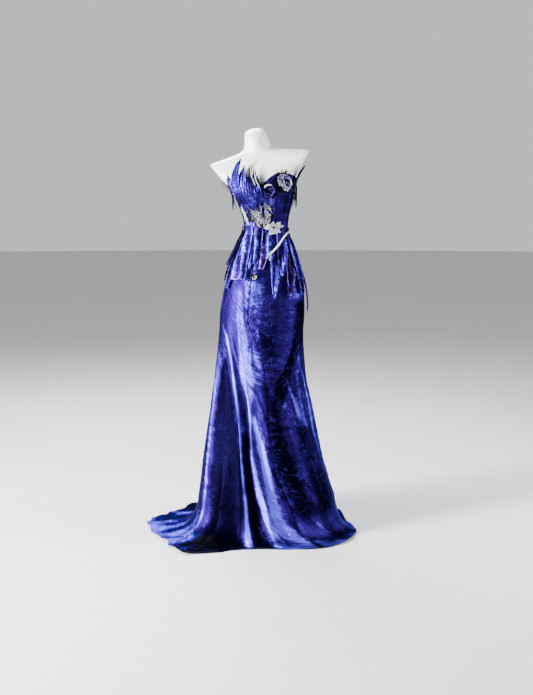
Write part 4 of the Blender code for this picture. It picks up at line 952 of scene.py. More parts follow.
def line_values(line, height):
    """Angle and inward depth of the skirt's lines at a height, by line number with fractions. Between a crest and a
    hollow the depth follows a level-ended curve, mixed with one minus a power by how sharp the crest is."""
    _, angles, depths, sharp = (np.array(column) for column in zip(*LINES))
    count = len(LINES)
    low = np.floor(line).astype(int)
    t = line - low
    first, second = low % count, (low + 1) % count
    height = np.broadcast_to(height, np.shape(line))
    angle_at, depth_at = read(list(zip(LINE_HEIGHTS, *angles)), height), read(list(zip(IN_HEIGHTS, *depths)), height)

    def pick(values, which):
        return np.take_along_axis(values, which[..., None], axis=-1)[..., 0]

    turns = (low // count) * 360.0, ((low + 1) // count) * 360.0
    angle = (pick(angle_at, first) + turns[0]) * (1 - t) + (pick(angle_at, second) + turns[1]) * t
    one, other = pick(depth_at, first), pick(depth_at, second)
    falls = other > one
    keen = np.where(falls, sharp[first], sharp[second])
    bent = np.where(falls, 1 - (1 - t) ** RIDGE_POWER, t**RIDGE_POWER)
    ease = smooth(t) * (1 - keen) + bent * keen
    return angle * DEG, (one * (1 - ease) + other * ease) * MM


def skirt(line, station):
    """Smooth point of the skirt. Station is the height down to the shin, then 0 down to -1 at the hem, along which the
    cloth leaves the column as a power of the share and settles on the floor. Also the angle, the height down the
    lines, how much the cloth lies, and how deep it is folded in."""
    line, station = np.broadcast_arrays(np.asarray(line, float), np.asarray(station, float))
    on_floor = np.clip(-station, 0.0, 1.0)
    standing = station > SHIN_HEIGHT
    reading = np.where(standing, station, SHIN_HEIGHT)
    line_height = np.where(standing, station, SHIN_HEIGHT * (1 - on_floor))
    angle, depth = line_values(line, line_height)
    depth = np.where(reading > IN_HEIGHTS[0], 0.0, depth)
    centre_x, centre_y, roll, left, right, front, back, square = np.moveaxis(read(SKIRT_RINGS, reading), -1, 0)
    radius = ring_radius(angle, left, right, front, back, square) - depth
    column = place(angle, radius, reading, centre_x, centre_y, roll, 0.0)
    hem = read(HEM, degrees(angle))[..., 0]
    hem = hem - depth * np.clip(1 - (hem - radius) / FLARE["folds_end"], 0, 1) * FLARE["folds_kept"]
    widening = np.clip((hem - radius) / FLARE["full"], 0.0, 1.0)
    reach = radius + (hem - radius) * on_floor ** (1 + FLARE["reach"] * widening)
    drop = SHIN_HEIGHT * (1 - on_floor) ** (1 + FLARE["drop"] * widening)
    lying = on_floor * widening
    ripple = FLARE["ripple"] * lying * (1 - 0.6 * on_floor) * (1 - np.clip(depth / (26 * MM), 0, 1))
    foot = np.stack([reach * np.sin(angle), -reach * np.cos(angle), drop + ripple], axis=-1)
    return np.where(standing[..., None], column, foot), angle, line_height, lying, depth


def pressed(angle, height, radius):
    """Outward moves of the long folds and short creases: a peak that falls off with the distance from its line, over
    its width, and fades at its ends."""
    turned = degrees(angle, -110)
    out = np.zeros(angle.shape)
    for path, wide, depth in FOLDS:
        level, middle = zip(*sorted((h, a) for a, h in path))
        off = np.hypot((turned - np.interp(height, level, middle)) * DEG * radius, FOLD_ROUND["long"])
        fade = faded(height, level[0], level[-1], 0.01, 0.04, 0.05, 0.021)
        uneven = 0.85 + 0.3 * noise(height / 0.06, wide + 0 * height, 21)
        out += depth * MM * bell(off, wide * MM, FOLD_POWER) * fade * uneven
    for first, start, last, end, wide, depth in CREASES:
        x, y = (turned - first) * DEG * radius, height - start
        run = (last - first) * DEG * radius, end - start
        along = np.clip((x * run[0] + y * run[1]) / (run[0] ** 2 + run[1] ** 2), 0, 1)
        off = np.hypot(np.hypot(x - along * run[0], y - along * run[1]), FOLD_ROUND["short"])
        out += depth * MM * bell(off, wide * MM, FOLD_POWER) * (0.35 + 0.65 * np.sin(math.pi * along))
    return out


def crush_amount(angle, height):
    """How crushed the cloth is, from 0 to 1: the highest of the bell curves round the crushed places."""
    turned = degrees(angle, -110)
    most = np.full(angle.shape, 0.04)
    for middle, level, wide, tall, amount in CRUSHED:
        most = np.maximum(most, amount * bell(turned - middle, wide) * bell(height - level, tall))
    return most


def gore_lines(start, end):
    """Numbers of a gore's first and last line, of which the last is counted on where the round begins anew."""
    names = [row[0] for row in LINES]
    first, last = names.index(start), names.index(end)
    return first, last + (len(names) if last <= first else 0)


def seam_move(line, radius, height):
    """Inward groove of each gore seam and the small puckers beside it."""
    out = np.zeros(line.shape)
    half_round = len(LINES) / 2
    for _, start, end in GORES:
        number, _ = gore_lines(start, end)
        off = np.abs((line - number + half_round) % len(LINES) - half_round) * LINE_TURN * radius
        out -= SEAM["in"] * bell(off, SEAM["half"])
        out += SEAM["out"] * bell(off, SEAM["reach"]) * noise(height / SEAM["apart"], number + 0 * height, 31)
    return out


def gore_points(start, end, stations):
    """Points of a gore, its painted light and how crushed it is: the smooth skirt moved along its normals by its
    folds, with waves and scallops where it lies on the floor."""
    first, last = gore_lines(start, end)
    step = 1 / STEPS_PER_LINE
    lines = np.linspace(first - step, last + step, (last - first) * STEPS_PER_LINE + 3)
    line, station = np.meshgrid(lines, stations)
    base, angle, height, lying, sunk = skirt(line, station)
    radius = np.hypot(base[..., 0], base[..., 1])
    amount = crush_amount(angle, height)
    drawn = smooth((WAIST_HEIGHT - height) / 0.05)
    across, up = angle * 0.2, height + 0.8 * np.clip(0.02 - height, 0, 1)
    out = pressed(angle, height, radius)
    for rise, wide, tall, sway_across, sway_up, size, seed in FACETS:
        sway = noise(across / size, up / size, seed)
        facet = crushed(across / wide + sway_across * sway, up / tall + sway_up * sway, seed + 1)
        out += amount * rise * MM * (facet - FACET_LEVEL)
    wrinkle = noise(across / WRINKLES["across"], up / WRINKLES["up"], 45)
    out += (WRINKLES["least"] + amount) * WRINKLES["out"] * wrinkle
    out += HILLS["out"] * noise(across / HILLS["across"], up / HILLS["up"], 46) * drawn
    out += seam_move(line, radius, height)
    out = out * np.clip(drawn + 0.1, 0, 1)
    points = base + grid_normals(base) * out[..., None]
    for rise, apart, count, seed in HEM_WAVES:
        points[..., 2] += lying**2 * rise * MM * (0.5 + 0.5 * noise(angle / (apart * DEG), count * lying, seed))
    away = np.stack([np.sin(angle), -np.cos(angle), 0 * angle], axis=-1)
    scallop = sum(reach * noise(angle / (apart * DEG), 0 * angle, seed) for reach, apart, seed in HEM_SCALLOPS)
    points += away * (lying**4 * scallop * MM)[..., None]
    points[..., 2] = np.maximum(points[..., 2], SHELL)
    # Painted light: painted highlight where folds stand out, painted shade where the lines sink in, the painted bands,
    # and painted patches of highlight and shade on the lying train.
    painted_patches = GORE_PAINTED_LIGHT["lying"] + GORE_PAINTED_LIGHT["painted_patches"] * noise(angle / 0.10, 3 * lying, 24)
    tone_and_painted_light = GORE_PAINTED_LIGHT["level"] + out / GORE_PAINTED_LIGHT["fold"] - sunk / GORE_PAINTED_LIGHT["hollow"]
    tone_and_painted_light = tone_and_painted_light + painted_band_light(angle, height) + lying * painted_patches
    return points[:, 1:-1], tone_and_painted_light[:, 1:-1], amount[:, 1:-1]


def skirt_gores():
    """The gores, from the hem up to the waist seam, each on its own cut."""
    fall = np.linspace(WAIST_HEIGHT - SEAM_GAP / 2, SHIN_HEIGHT + 0.004, FALL_ROWS)
    stations = np.concatenate([fall, -np.linspace(0.0001, 1.0, FOOT_ROWS)])[::-1]
    for name, start, end in GORES:
        points, tone_and_painted_light, amount = gore_points(start, end, stations)
        cloth(name + "_gore", "blue", [(points, tone_and_painted_light)], [name], crush=amount)


skirt_gores()

# Peplum. Petals torn from the same taffeta in two layers, gathered into the waist seam and pressed into long folds,
# with raw edges; the outer ones flare over the inner ones, and the right front ones end in points.
TRIM = 1.5 * MM
PETAL = 0.7 * MM
LAYER = {
    # height of the root, mm out there, mm out for each metre down, mm of its middle crease
    "inner": (1.184, 0.9, 24.0, 3.0),
    "outer": (1.206, 3.4, 38.0, 4.0),
}
PEPLUM = (
    # node, layer, root angle, tip angle, tip height, root, belly and tip half widths, bend, pleats,
    # mm deep, how much paler as painted highlight or, below zero, darker as painted shade, finish
    ("petal_left_side", "inner", -99, -98, 0.985, 17, 22, 8, 0, 1.3, 4.2, -0.02, "blue"),
    ("petal_left_long", "inner", -68, -67, 0.965, 17, 23, 7, -3, 1.7, 4.4, 0.12, "blue"),
    ("petal_left_front", "inner", -37, -38, 1.020, 15, 21, 9, 0, 1.4, 4.2, 0.16, "blue"),
    ("petal_front", "inner", -5, -9, 1.045, 15, 20, 8, 0, 1.2, 3.4, 0.10, "violet"),
    ("petal_right_front", "inner", 27, 21, 0.936, 15, 20, 3, 3, 1.2, 4.0, 0.16, "blue"),
    ("petal_right_low", "inner", 58, 47, 0.935, 15, 20, 3, 0, 1.2, 4.0, -0.04, "violet"),
    ("petal_right_side", "inner", 90, 86, 0.880, 18, 22, 4, 0, 1.4, 4.0, 0.0, "blue"),
    ("petal_back_right_a", "inner", 123, 122, 0.990, 18, 22, 6, 0, 1.3, 3.0, -0.04, "blue"),
    ("petal_back_right_b", "inner", 152, 151, 0.950, 15, 21, 5, 0, 1.2, 3.0, 0.06, "blue"),
    ("petal_back_centre", "inner", 180, 180, 0.975, 15, 20, 6, 0, 1.1, 2.8, -0.04, "violet"),
    ("petal_back_left_b", "inner", 207, 208, 0.960, 15, 20, 5, 0, 1.4, 3.0, 0.08, "blue"),
    ("petal_back_left_a", "inner", 233, 236, 0.995, 15, 19, 6, 0, 1.1, 3.0, -0.02, "blue"),
    ("flap_left_side", "outer", -85, -86, 1.040, 15, 25, 12, 0, 1.5, 6.0, -0.02, "violet"),
    ("flap_left_cut", "outer", -51, -47, 1.000, 15, 25, 27, 0, 1.6, 6.5, 0.16, "blue"),
    ("flap_front_left", "outer", -19, -24, 1.060, 12, 17, 11, 2, 1.1, 6.0, 0.32, "blue"),
    ("flap_front_right", "outer", 12, 7, 1.085, 12, 16, 10, 0, 1.2, 5.0, 0.26, "blue"),
    ("flap_right_front", "outer", 42, 34, 1.025, 12, 19, 5, 0, 1.1, 6.5, 0.14, "blue"),
    ("flap_right_side", "outer", 73, 69, 0.955, 14, 22, 6, 4, 1.2, 6.5, -0.04, "blue"),
    ("flap_back_right", "outer", 107, 107, 1.045, 16, 26, 10, 0, 1.5, 6.0, -0.04, "violet"),
    ("flap_back_inner", "outer", 139, 138, 1.030, 14, 23, 9, 0, 1.2, 6.5, 0.1, "blue"),
    ("flap_back_centre", "outer", 168, 168, 1.055, 12, 19, 9, 0, 1.1, 6.0, -0.02, "blue"),
    ("flap_back_left", "outer", 197, 198, 1.035, 13, 22, 8, 0, 1.3, 6.0, 0.08, "violet"),
    ("flap_back_outer", "outer", 229, 230, 1.050, 14, 24, 10, 0, 1.6, 6.5, 0.0, "blue"),
)
PETAL_EDGE = {"torn": 0.022, "curl": 1.5, "grid": (54, 30)}
PETAL_CRUMPLE = {"least": 0.42, "more": 0.75, "angle": 12, "wide": 45}
PETAL_TONE = (1.7, -0.26)
# Darkest for painted shade in hollows, deep, full, and pale for painted highlight
TAFFETA_VIOLET = (
    (0.0010, 0.0004, 0.005, 1), (0.009, 0.0026, 0.030, 1), (0.042, 0.015, 0.145, 1), (0.19, 0.14, 0.70, 1),
)
FINISH["violet"] = (taffeta("violet_taffeta_cloth", TAFFETA_VIOLET), "violet_taffeta")
GATHERED = 60 * MM
REACH = 0.12
PLEAT_RISE = 0.68
CRUMPLE = {"across": 21 * MM, "along": 28 * MM, "deepest": 4.0, "facet": 0.5, "ripple": 0.12}
# Tone and painted light of strips: a level, a little random tone per strip, a lift for crumpled ones, painted
# highlight on pleat tops and more where they are plain, on crushed facet edges and along the raw edges
STRIP_TONE_AND_PAINTED_LIGHT = {"level": 0.02, "seeded": 0.09, "crumple": 0.06, "fold": 0.42, "plain": 0.30, "facet": 0.42,
               "edge": 0.35}


def gown(angle, height):
    """Point of the gown's outer face above the knee, without its folds: the skirt's rings below the waist seam, and
    the skin moved out above it."""
    angle, height = np.broadcast_arrays(np.asarray(angle, float), np.asarray(height, float))
    centre_x, centre_y, roll, left, right, front, back, square = np.moveaxis(read(SKIRT_RINGS, height), -1, 0)
    radius = ring_radius(angle, left, right, front, back, square)
    below = place(angle, radius, height, centre_x, centre_y, roll, 0.0)
    above = moved_out(skin, angle, np.maximum(height, WAIST_HEIGHT), CLOTH + FORM_GAP)
    return np.where((height >= WAIST_HEIGHT)[..., None], above, below)


def beside(angle, height, sideways, upwards):
    """Angle and height of the place that many metres to the right of and above a place on the gown."""
    reach = np.linalg.norm(gown(angle + 0.02, height) - gown(angle - 0.02, height), axis=-1) / 0.04
    return angle + sideways / reach, height + upwards


def saw(phase, rise):
    """Wave of pressed pleats from 0 to 1: a straight rise over a share of each turn, and a straight fall."""
    t = phase - np.floor(phase)
    return np.where(t < rise, t / rise, (1 - t) / (1 - rise))


def strip(root, tip, widths, bend=0.0, crease=0.0, pleats=0, deep=0.0, torn=0.08, curl=0.0, grid=(24, 4), ribs=False,
          slant=0.0, crumple=1.0):
    """Outer points of a strip laid from a root to a tip, each an angle, a height and mm out, and its tone and
    painted light.

    Half width: a parabola through the root's, the belly's and the tip's, times a ragged 1. The middle bows aside as a
    sine. Out: a straight line from root to tip, a cosine crease, pleats, crushed facets and curled edges. Pleats are
    uneven saws that may run aslant, and ribs a power of a sine's absolute value. The grid is its rows and columns.
    """
    rows, columns = grid
    seed = int(abs(root[0] * 7 + root[1] * 900 + tip[0] * 3 + tip[1] * 500)) % 997
    across = np.linspace(-1, 1, columns + 1)[None, :]
    t = np.linspace(0, 1, rows)[:, None] * (1 + 0.6 * torn * noise(across * 4 + 9, seed * 0.37 + 0 * across, 61))
    angle, height, out = (root[k] * (1 - t) + tip[k] * t for k in range(3))
    run = np.array([(tip[0] - root[0]) * DEG * REACH, tip[1] - root[1]])
    length = np.hypot(*run)
    along, share = t * length, np.clip(t, 0, 1)
    half = widths[0] * (1 - share) ** 2 + widths[2] * share**2
    half = (half + (4 * widths[1] - widths[0] - widths[2]) * share * (1 - share)) * MM
    half = half * (1 + torn * 1.6 * noise(along / 0.008, seed * 0.71 + 3.0 * (across < 0), 62))
    off = half * across + bend * MM * np.sin(math.pi * share)
    around, level = beside(angle * DEG, height, off * run[1] / length, -off * run[0] / length)
    grown = np.clip(along / GATHERED, 0, 1)
    drawn = across + 0.30 * noise(across * 1.1 + seed * 0.3, share * 1.6, 63)
    drawn = drawn + 0.10 * noise(across * 3, along / 0.03, 68)
    phase = pleats * 0.5 * (drawn + 1) + slant * share + seed * 0.37
    pleat = 0.4
    if ribs:
        pleat = np.abs(np.sin(math.pi * phase)) ** 0.7
    elif pleats:
        wave = saw(phase, PLEAT_RISE)
        uneven = np.clip(0.75 + 0.5 * noise(across * 1.7 + seed, share * 1.3, 66), 0, 1)
        pleat = (0.65 * wave + 0.35 * smooth(wave)) * uneven
    facet = crushed((off + 0.5 * along) / CRUMPLE["across"] + seed * 0.1, (along - 0.6 * off) / CRUMPLE["along"], 67)
    ripple = noise(off / 0.006 + seed, along / 0.010, 64)
    lift = out + grown * (abs(crease) * 0.5 + crease * 0.5 * np.cos(across * math.pi) + deep * pleat)
    lift = lift + grown * curl * np.abs(across) ** 3
    rough = CRUMPLE["facet"] * facet + CRUMPLE["ripple"] * ripple
    lift = lift + grown * crumple * min(deep, CRUMPLE["deepest"]) * rough
    points = moved_out(gown, around, level, lift * MM + TRIM)
    # Painted light: a little random tone per strip, painted highlight on pleat tops, crushed facet edges and raw
    # edges.
    edge = bell(1 - np.abs(across), 0.05) + bell((1 - share) * length, 0.0012)
    tone = STRIP_TONE_AND_PAINTED_LIGHT
    tone_and_painted_light = tone["level"] + tone["seeded"] * math.sin(seed) + tone["crumple"] * crumple
    tone_and_painted_light = tone_and_painted_light + (tone["fold"] + tone["plain"] * (1 - crumple)) * pleat * (0.3 + 0.7 * grown)
    tone_and_painted_light = tone_and_painted_light + tone["facet"] * crumple * facet * grown + tone["edge"] * edge
    return points, np.clip(tone_and_painted_light, 0, 1)


def peplum():
    """The petals of both layers, most crumpled at the right front."""
    for name, layer, start, end, low, first, belly, last, bend, pleats, deep, paler, finish in PEPLUM:
        top, out, flare, crease = LAYER[layer]
        root, tip = (start, top, out), (end, low, out + flare * (top - low))
        crumple = PETAL_CRUMPLE["more"] * bell(end - PETAL_CRUMPLE["angle"], PETAL_CRUMPLE["wide"])
        laid = strip(root, tip, (first, belly, last), bend, crease, pleats, deep, slant=-0.9 * math.sin(end * DEG),
                     crumple=PETAL_CRUMPLE["least"] + crumple, **PETAL_EDGE)
        tone = (PETAL_TONE[0], PETAL_TONE[1] + paler)
        cloth(name + "_cloth", finish, [laid], [name], PETAL, tone)


peplum()

# Bust leaves. Strips of taffeta pleated into ribs like folded leaves, sewn down at their roots along the bust and
# free at their points, and a black net leaf at the right. Thin quills of torn silk stand between them, and small
# shreds of it beside the white strip, the puff and the braid's ends.
LEAVES = (
    # node, root and tip, each an angle, a height and mm out, then bend, half widths, crease, pleats, deep and finish
    ("leaf_left", (-60, 1.300, 1.0), (-60, 1.412, 10), -2, (9, 18, 3), 3, 5, 2.4, "violet"),
    ("leaf_middle", (-40, 1.290, 1.0), (-38, 1.430, 12), -2, (9, 17, 2), 3, 6, 2.6, "blue"),
    ("leaf_inner", (-21, 1.290, 1.0), (-15, 1.408, 8), 3, (8, 16, 3), 3, 5, 2.6, "blue"),
    ("leaf_tall", (-49, 1.300, 4.7), (-48, 1.452, 27), -1, (9, 18, 1.5), 5, 6, 3.0, "blue"),
    ("leaf_low", (-28, 1.392, 11.0), (-27, 1.272, 8.5), 1, (8, 18, 3), 4, 6, 3.0, "blue"),
    ("leaf_right_up", (70, 1.330, 0.6), (72, 1.420, 10), 3, (7, 11, 2), 3, 3, 2.0, "black"),
    ("strip_left", (-66, 1.285, 1.0), (-50, 1.212, 1.0), 2, (5, 7, 3), 1.5, 2, 1.8, "silver"),
)
LEAF_EDGE = {"torn": 0.08, "curl": 1.0, "grid": (60, 42), "ribs": True}
SHRED_EDGE = {"torn": 0.15, "curl": 1.0, "grid": (60, 42)}
QUILLS = (
    # root and tip, each an angle, a height and mm out, then half width, bend and finish
    ((-20, 1.365, 14), (-24, 1.430, 22), 1.9, -5, "black"),
    ((-16, 1.362, 14), (-19, 1.426, 21), 1.5, -6, "black"),
    ((-13, 1.358, 13), (-15, 1.418, 20), 2.0, -5, "black"),
    ((-18, 1.362, 15), (-21, 1.428, 22), 1.6, -4, "silver"),
    ((-11, 1.355, 13), (-13, 1.414, 19), 1.8, -5, "silver"),
    ((3, 1.354, 17), (19, 1.357, 17), 2.6, -4, "silver"),
    ((-62, 1.276, 4), (-53, 1.250, 6), 2.2, 2, "silver"),
    ((-66, 1.268, 4), (-59, 1.238, 5), 1.8, -3, "silver"),
    ((-56, 1.250, 4), (-50, 1.224, 6), 2.4, 3, "silver"),
    ((-61, 1.246, 5), (-52, 1.214, 6), 1.6, -2, "silver"),
    ((-54, 1.262, 4), (-60, 1.230, 6), 1.5, 3, "silver"),
    ((-32, 1.018, 8), (-12, 1.034, 8), 2.6, 7, "black"),
    ((-31, 1.008, 8), (-26, 0.992, 8), 2.4, 3, "black"),
    ((-84, 1.325, 7), (-78, 1.272, 11), 3.6, 4, "violet"),
    ((-76, 1.340, 7), (-77, 1.288, 10), 2.6, 3, "black"),
    ((-58, 1.335, 10), (-62, 1.285, 8), 2.2, -3, "black"),
    ((56, 1.184, 15), (66, 1.206, 17), 1.8, 2, "silver"),
    ((56, 1.184, 15), (72, 1.188, 17), 1.6, -2, "silver"),
    ((10, 1.104, 19), (0, 1.084, 20), 1.8, 2, "silver"),
    ((10, 1.104, 19), (8, 1.078, 20), 1.6, -2, "silver"),
    ((-9, 1.352, 12), (-11, 1.408, 18), 1.8, -4, "black"),
    ((-6, 1.346, 10), (-8, 1.396, 16), 1.8, -4, "black"),
    ((-70, 1.352, 9), (-78, 1.398, 15), 2.4, 3, "black"),
    ((-64, 1.352, 10), (-68, 1.405, 17), 2.0, 4, "black"),
    ((-74, 1.345, 8), (-84, 1.384, 14), 2.4, 4, "violet"),
    ((-66, 1.350, 9), (-70, 1.402, 16), 2.8, 3, "violet"),
)
QUILL_EDGE = {"crease": 0.8, "curl": 0.8, "grid": (22, 4)}
WHITE_PALER = 0.3
# Darkest for painted shade, deep, full, and pale for painted highlight, in both; the braid's yarn takes the full and
# pale whites as its own tone
SILK_WHITE = ((0.003, 0.003, 0.010, 1), (0.16, 0.16, 0.20, 1), (0.38, 0.38, 0.44, 1), (0.92, 0.92, 0.90, 1))
NET_BLACK = ((0.0006, 0.0006, 0.001, 1), (0.001, 0.001, 0.002, 1), (0.003, 0.003, 0.007, 1), (0.009, 0.009, 0.022, 1))
SILVER = taffeta("silver_silk_cloth", SILK_WHITE, (0.38, 0.55), facets=60.0, crinkle=1.2, metal=0.0)
BLACK = taffeta("black_net_cloth", NET_BLACK, (0.42, 0.62), facets=70.0, crinkle=1.2, metal=0.0, gloss=0.15)
FINISH["silver"] = (SILVER, "silver_silk")
FINISH["black"] = (BLACK, "black_net")


def bust_leaves():
    """The ribbed leaves and the torn strip, then the quills gathered by their finish into one piece each."""
    for name, root, tip, bend, widths, crease, pleats, deep, finish in LEAVES:
        edge = SHRED_EDGE if finish == "silver" else LEAF_EDGE
        laid = strip(root, tip, widths, bend, crease, pleats, deep, **edge)
        cloth(name + "_cloth", finish, [laid], [name], PETAL, (1.0, 0.14), 0.4)
    for finish, paler in (("silver", WHITE_PALER), ("black", 0.0), ("violet", 0.0)):
        laid = [strip(root, tip, (wide, wide, 0.4), bend, **QUILL_EDGE)
                for root, tip, wide, bend, kind in QUILLS if kind == finish]
        cloth("quills_" + finish, finish, laid, [], 0.5 * MM, (1.0, paler))


bust_leaves()

# Underarm fringes. Torn strands of black net with a few of violet taffeta, hung from a narrow strip that is sewn to
# the side panel under each arm.
FRINGES = (
    # node, left angle, height of the ends, width, length, mm out at the top and bottom
    ("fringe_left", -104, 1.286, 62, 76, 1.6, 24),
    ("fringe_right", 87, 1.284, 60, 74, 1.2, 18),
)
STRANDS = (
    # share of the width, share of the length, half width mm, bend mm
    (0.03, 1.00, 2.6, 2), (0.11, 0.78, 2.0, -2), (0.20, 0.92, 3.0, 3), (0.30, 0.70, 2.2, -3), (0.38, 0.96, 2.8, 2),
    (0.48, 0.84, 2.0, 4), (0.57, 1.00, 3.0, -2), (0.66, 0.74, 2.4, 3), (0.76, 0.94, 2.6, -3), (0.86, 0.80, 2.2, 2),
    (0.96, 0.98, 2.8, -2), (0.15, 0.60, 1.6, 5), (0.52, 0.56, 1.6, -5), (0.81, 0.60, 1.6, 5),
)
STRAND_EDGE = {"crease": 1.2, "torn": 0.20, "curl": 1.6, "grid": (30, 6)}
FRINGE_STRIP = 5


def fringes():
    """A backing strip and its strands, which lean out to the foot as a straight line; every third strand is violet."""
    for name, left, foot, width, length, out, low_out in FRINGES:
        drop = (length - 8) * MM
        top = foot + drop
        right = left + width * MM / REACH / DEG
        laid, tinted = [strip((left, top, out), (right, top, out), (FRINGE_STRIP,) * 3)], []
        for number, (share, long, half, bend) in enumerate(STRANDS):
            angle = left + share * (right - left)
            root = (angle, top, out + 0.9)
            tip = (angle + bend * 0.6, top - long * drop, out + (low_out - out) * long)
            made = strip(root, tip, (half, half * 1.1, 0.4), bend, **STRAND_EDGE)
            (tinted if number % 3 == 1 else laid).append(made)
        cloth(name + "_strands", "black", laid, [name], 0.5 * MM)
        cloth(name + "_tints", "violet", tinted, [], 0.5 * MM)


fringes()

# Stomach net. Torn strips of white silk that cross each other, tacked over a backing of black net, which shows in the
# gaps and is laid on the front panel.
NET_STRIPS = (
    # root and tip, each an angle, a height and mm out, then the half widths, bend
    ((-42, 1.278, 1.6), (-24, 1.252, 2.6), (1.7, 2.8, 1.1), 3),
    ((-40, 1.262, 1.6), (-16, 1.224, 3.0), (1.7, 3.1, 1.4), -3),
    ((-36, 1.248, 1.4), (-20, 1.214, 2.4), (1.4, 2.5, 0.8), 4),
    ((-30, 1.284, 1.4), (-27, 1.240, 2.2), (1.7, 2.8, 0.6), -3),
    ((-22, 1.282, 1.6), (-14, 1.238, 2.6), (1.4, 3.4, 0.6), 3),
    ((-14, 1.268, 2.0), (-22, 1.228, 3.0), (1.4, 2.8, 0.6), -3),
    ((-12, 1.256, 2.2), (-4, 1.214, 3.0), (1.7, 3.1, 0.8), 3),
    ((-4, 1.292, 1.6), (12, 1.276, 3.0), (1.7, 3.7, 2.2), 4),
    ((-2, 1.276, 1.6), (6, 1.240, 2.8), (1.7, 3.4, 0.8), -4),
    ((0, 1.262, 2.6), (12, 1.252, 3.4), (2.0, 3.7, 1.7), 3),
    ((10, 1.270, 1.6), (2, 1.232, 3.0), (1.7, 3.1, 0.6), 3),
    ((12, 1.250, 2.0), (4, 1.216, 3.0), (1.4, 2.8, 0.6), -3),
    ((-26, 1.236, 2.2), (-2, 1.222, 3.4), (1.7, 2.8, 1.1), -4),
    ((-8, 1.240, 2.4), (8, 1.226, 3.4), (1.7, 3.1, 1.1), 3),
    ((-33, 1.270, 2.8), (-37, 1.236, 3.6), (0.9, 1.8, 0.3), 2),
    ((-20, 1.262, 3.0), (-30, 1.246, 3.8), (0.8, 1.7, 0.3), -3),
    ((-8, 1.286, 2.4), (-12, 1.262, 3.6), (0.9, 1.9, 0.4), 2),
    ((-16, 1.246, 3.4), (-9, 1.230, 4.0), (0.8, 1.7, 0.3), 2),
    ((4, 1.292, 2.6), (16, 1.262, 3.8), (0.9, 1.7, 0.3), -3),
    ((-2, 1.250, 3.4), (-6, 1.214, 4.0), (0.9, 1.8, 0.4), 2),
    ((-28, 1.222, 2.6), (-16, 1.204, 3.4), (0.9, 1.9, 0.4), 2),)
NET_EDGE = {"crease": 1.2, "pleats": 1.5, "deep": 2.4, "torn": 0.38, "curl": 1.2, "grid": (36, 14)}
# Steep painted light on the white strips: painted shade beside their pleats, painted highlight on the pleat tops
NET_TONE = (3.0, -0.76)
NET_BACK = ((-13, 1.296, -0.8), (-15, 1.206, -0.8), (44, 49, 36))


def stomach_net():
    """The white strips, and the black backing as one smooth patch that they lie on."""
    laid = [strip(root, tip, widths, bend, **NET_EDGE) for root, tip, widths, bend in NET_STRIPS]
    cloth("net_stomach_strips", "silver", laid, ["net_stomach"], 0.5 * MM, NET_TONE, 0.9)
    grid, _ = strip(*NET_BACK, torn=0.05, grid=(40, 40))
    cloth("net_backing", "black", [(grid, 0.5)], [], 0.4 * MM)


stomach_net()

# Rosettes. Cupped petals of crumpled silk gathered round a bud, each on a ruff of torn black or white blades that is
# sewn to the bodice, the peplum or the skirt.
ROSETTES = (
    # name, angle, height, mm out, ruff's radius, blades and their half width, mm from its back to the petals, the
    # rosette's radius, petals and height, and the finishes of both
    ("centre", 10, 1.338, 1.2, 30, 34, 2.8, 2.3, 22, 9, 15, "black", "violet"),
    ("right", 43, 1.364, 1.8, 37, 52, 3.0, 2.6, 26, 16, 16, "black", "pale"),
    ("puff", -20, 1.012, 0.4, 13, 16, 1.6, 2.0, 9, 7, 13, "black", "silver"),
    ("hip", 46, 0.972, 11.1, 17, 18, 2.2, 2.0, 13, 8, 9, "blue", "violet"),
    ("waist", 22, 1.205, 8.2, 29, 9, 6.4, 2.0, 11, 5, 5, "silver", "silver"),
)
GOLDEN_ANGLE = 137.5 * DEG
BLADE_EDGE = {"crease": 0.8, "torn": 0.18, "curl": 1.0, "grid": (14, 6)}
ROSE_GRID = (12, 15)
VIOLET_DARKER = -0.22
# Darkest for painted shade, deep, full, and pale for painted highlight
SILK_PALE = ((0.001, 0.001, 0.005, 1), (0.008, 0.006, 0.05, 1), (0.06, 0.055, 0.24, 1), (0.72, 0.73, 0.78, 1))
PALE = taffeta("pale_shot_silk_cloth", SILK_PALE, (0.30, 0.45), facets=60.0, crinkle=1.2, metal=0.35)
FINISH["pale"] = (PALE, "silver_silk")


def ruff(angle, height, out, radius, blades, wide):
    """Blades laid outwards from a centre, each turned by the golden angle, with uneven lengths and lifted tips."""
    laid = []
    for k in range(blades):
        turn = k * GOLDEN_ANGLE
        ends = []
        for reach, rise in ((0.18, 0.0), (0.82 + 0.42 * math.sin(k * 2.3) ** 2, 2.0 + 4.0 * math.sin(k * 1.7) ** 2)):
            far = reach * radius * MM
            around, level = beside(angle * DEG, height, far * math.sin(turn), -far * math.cos(turn))
            ends.append((float(around) / DEG, float(level), out + rise))
        half = wide * (0.6 + 0.5 * math.sin(k * 0.9) ** 2)
        laid.append(strip(*ends, (half * 0.7, half * 1.25, 0.3), 2.5 * math.sin(k), **BLADE_EDGE))
    return laid


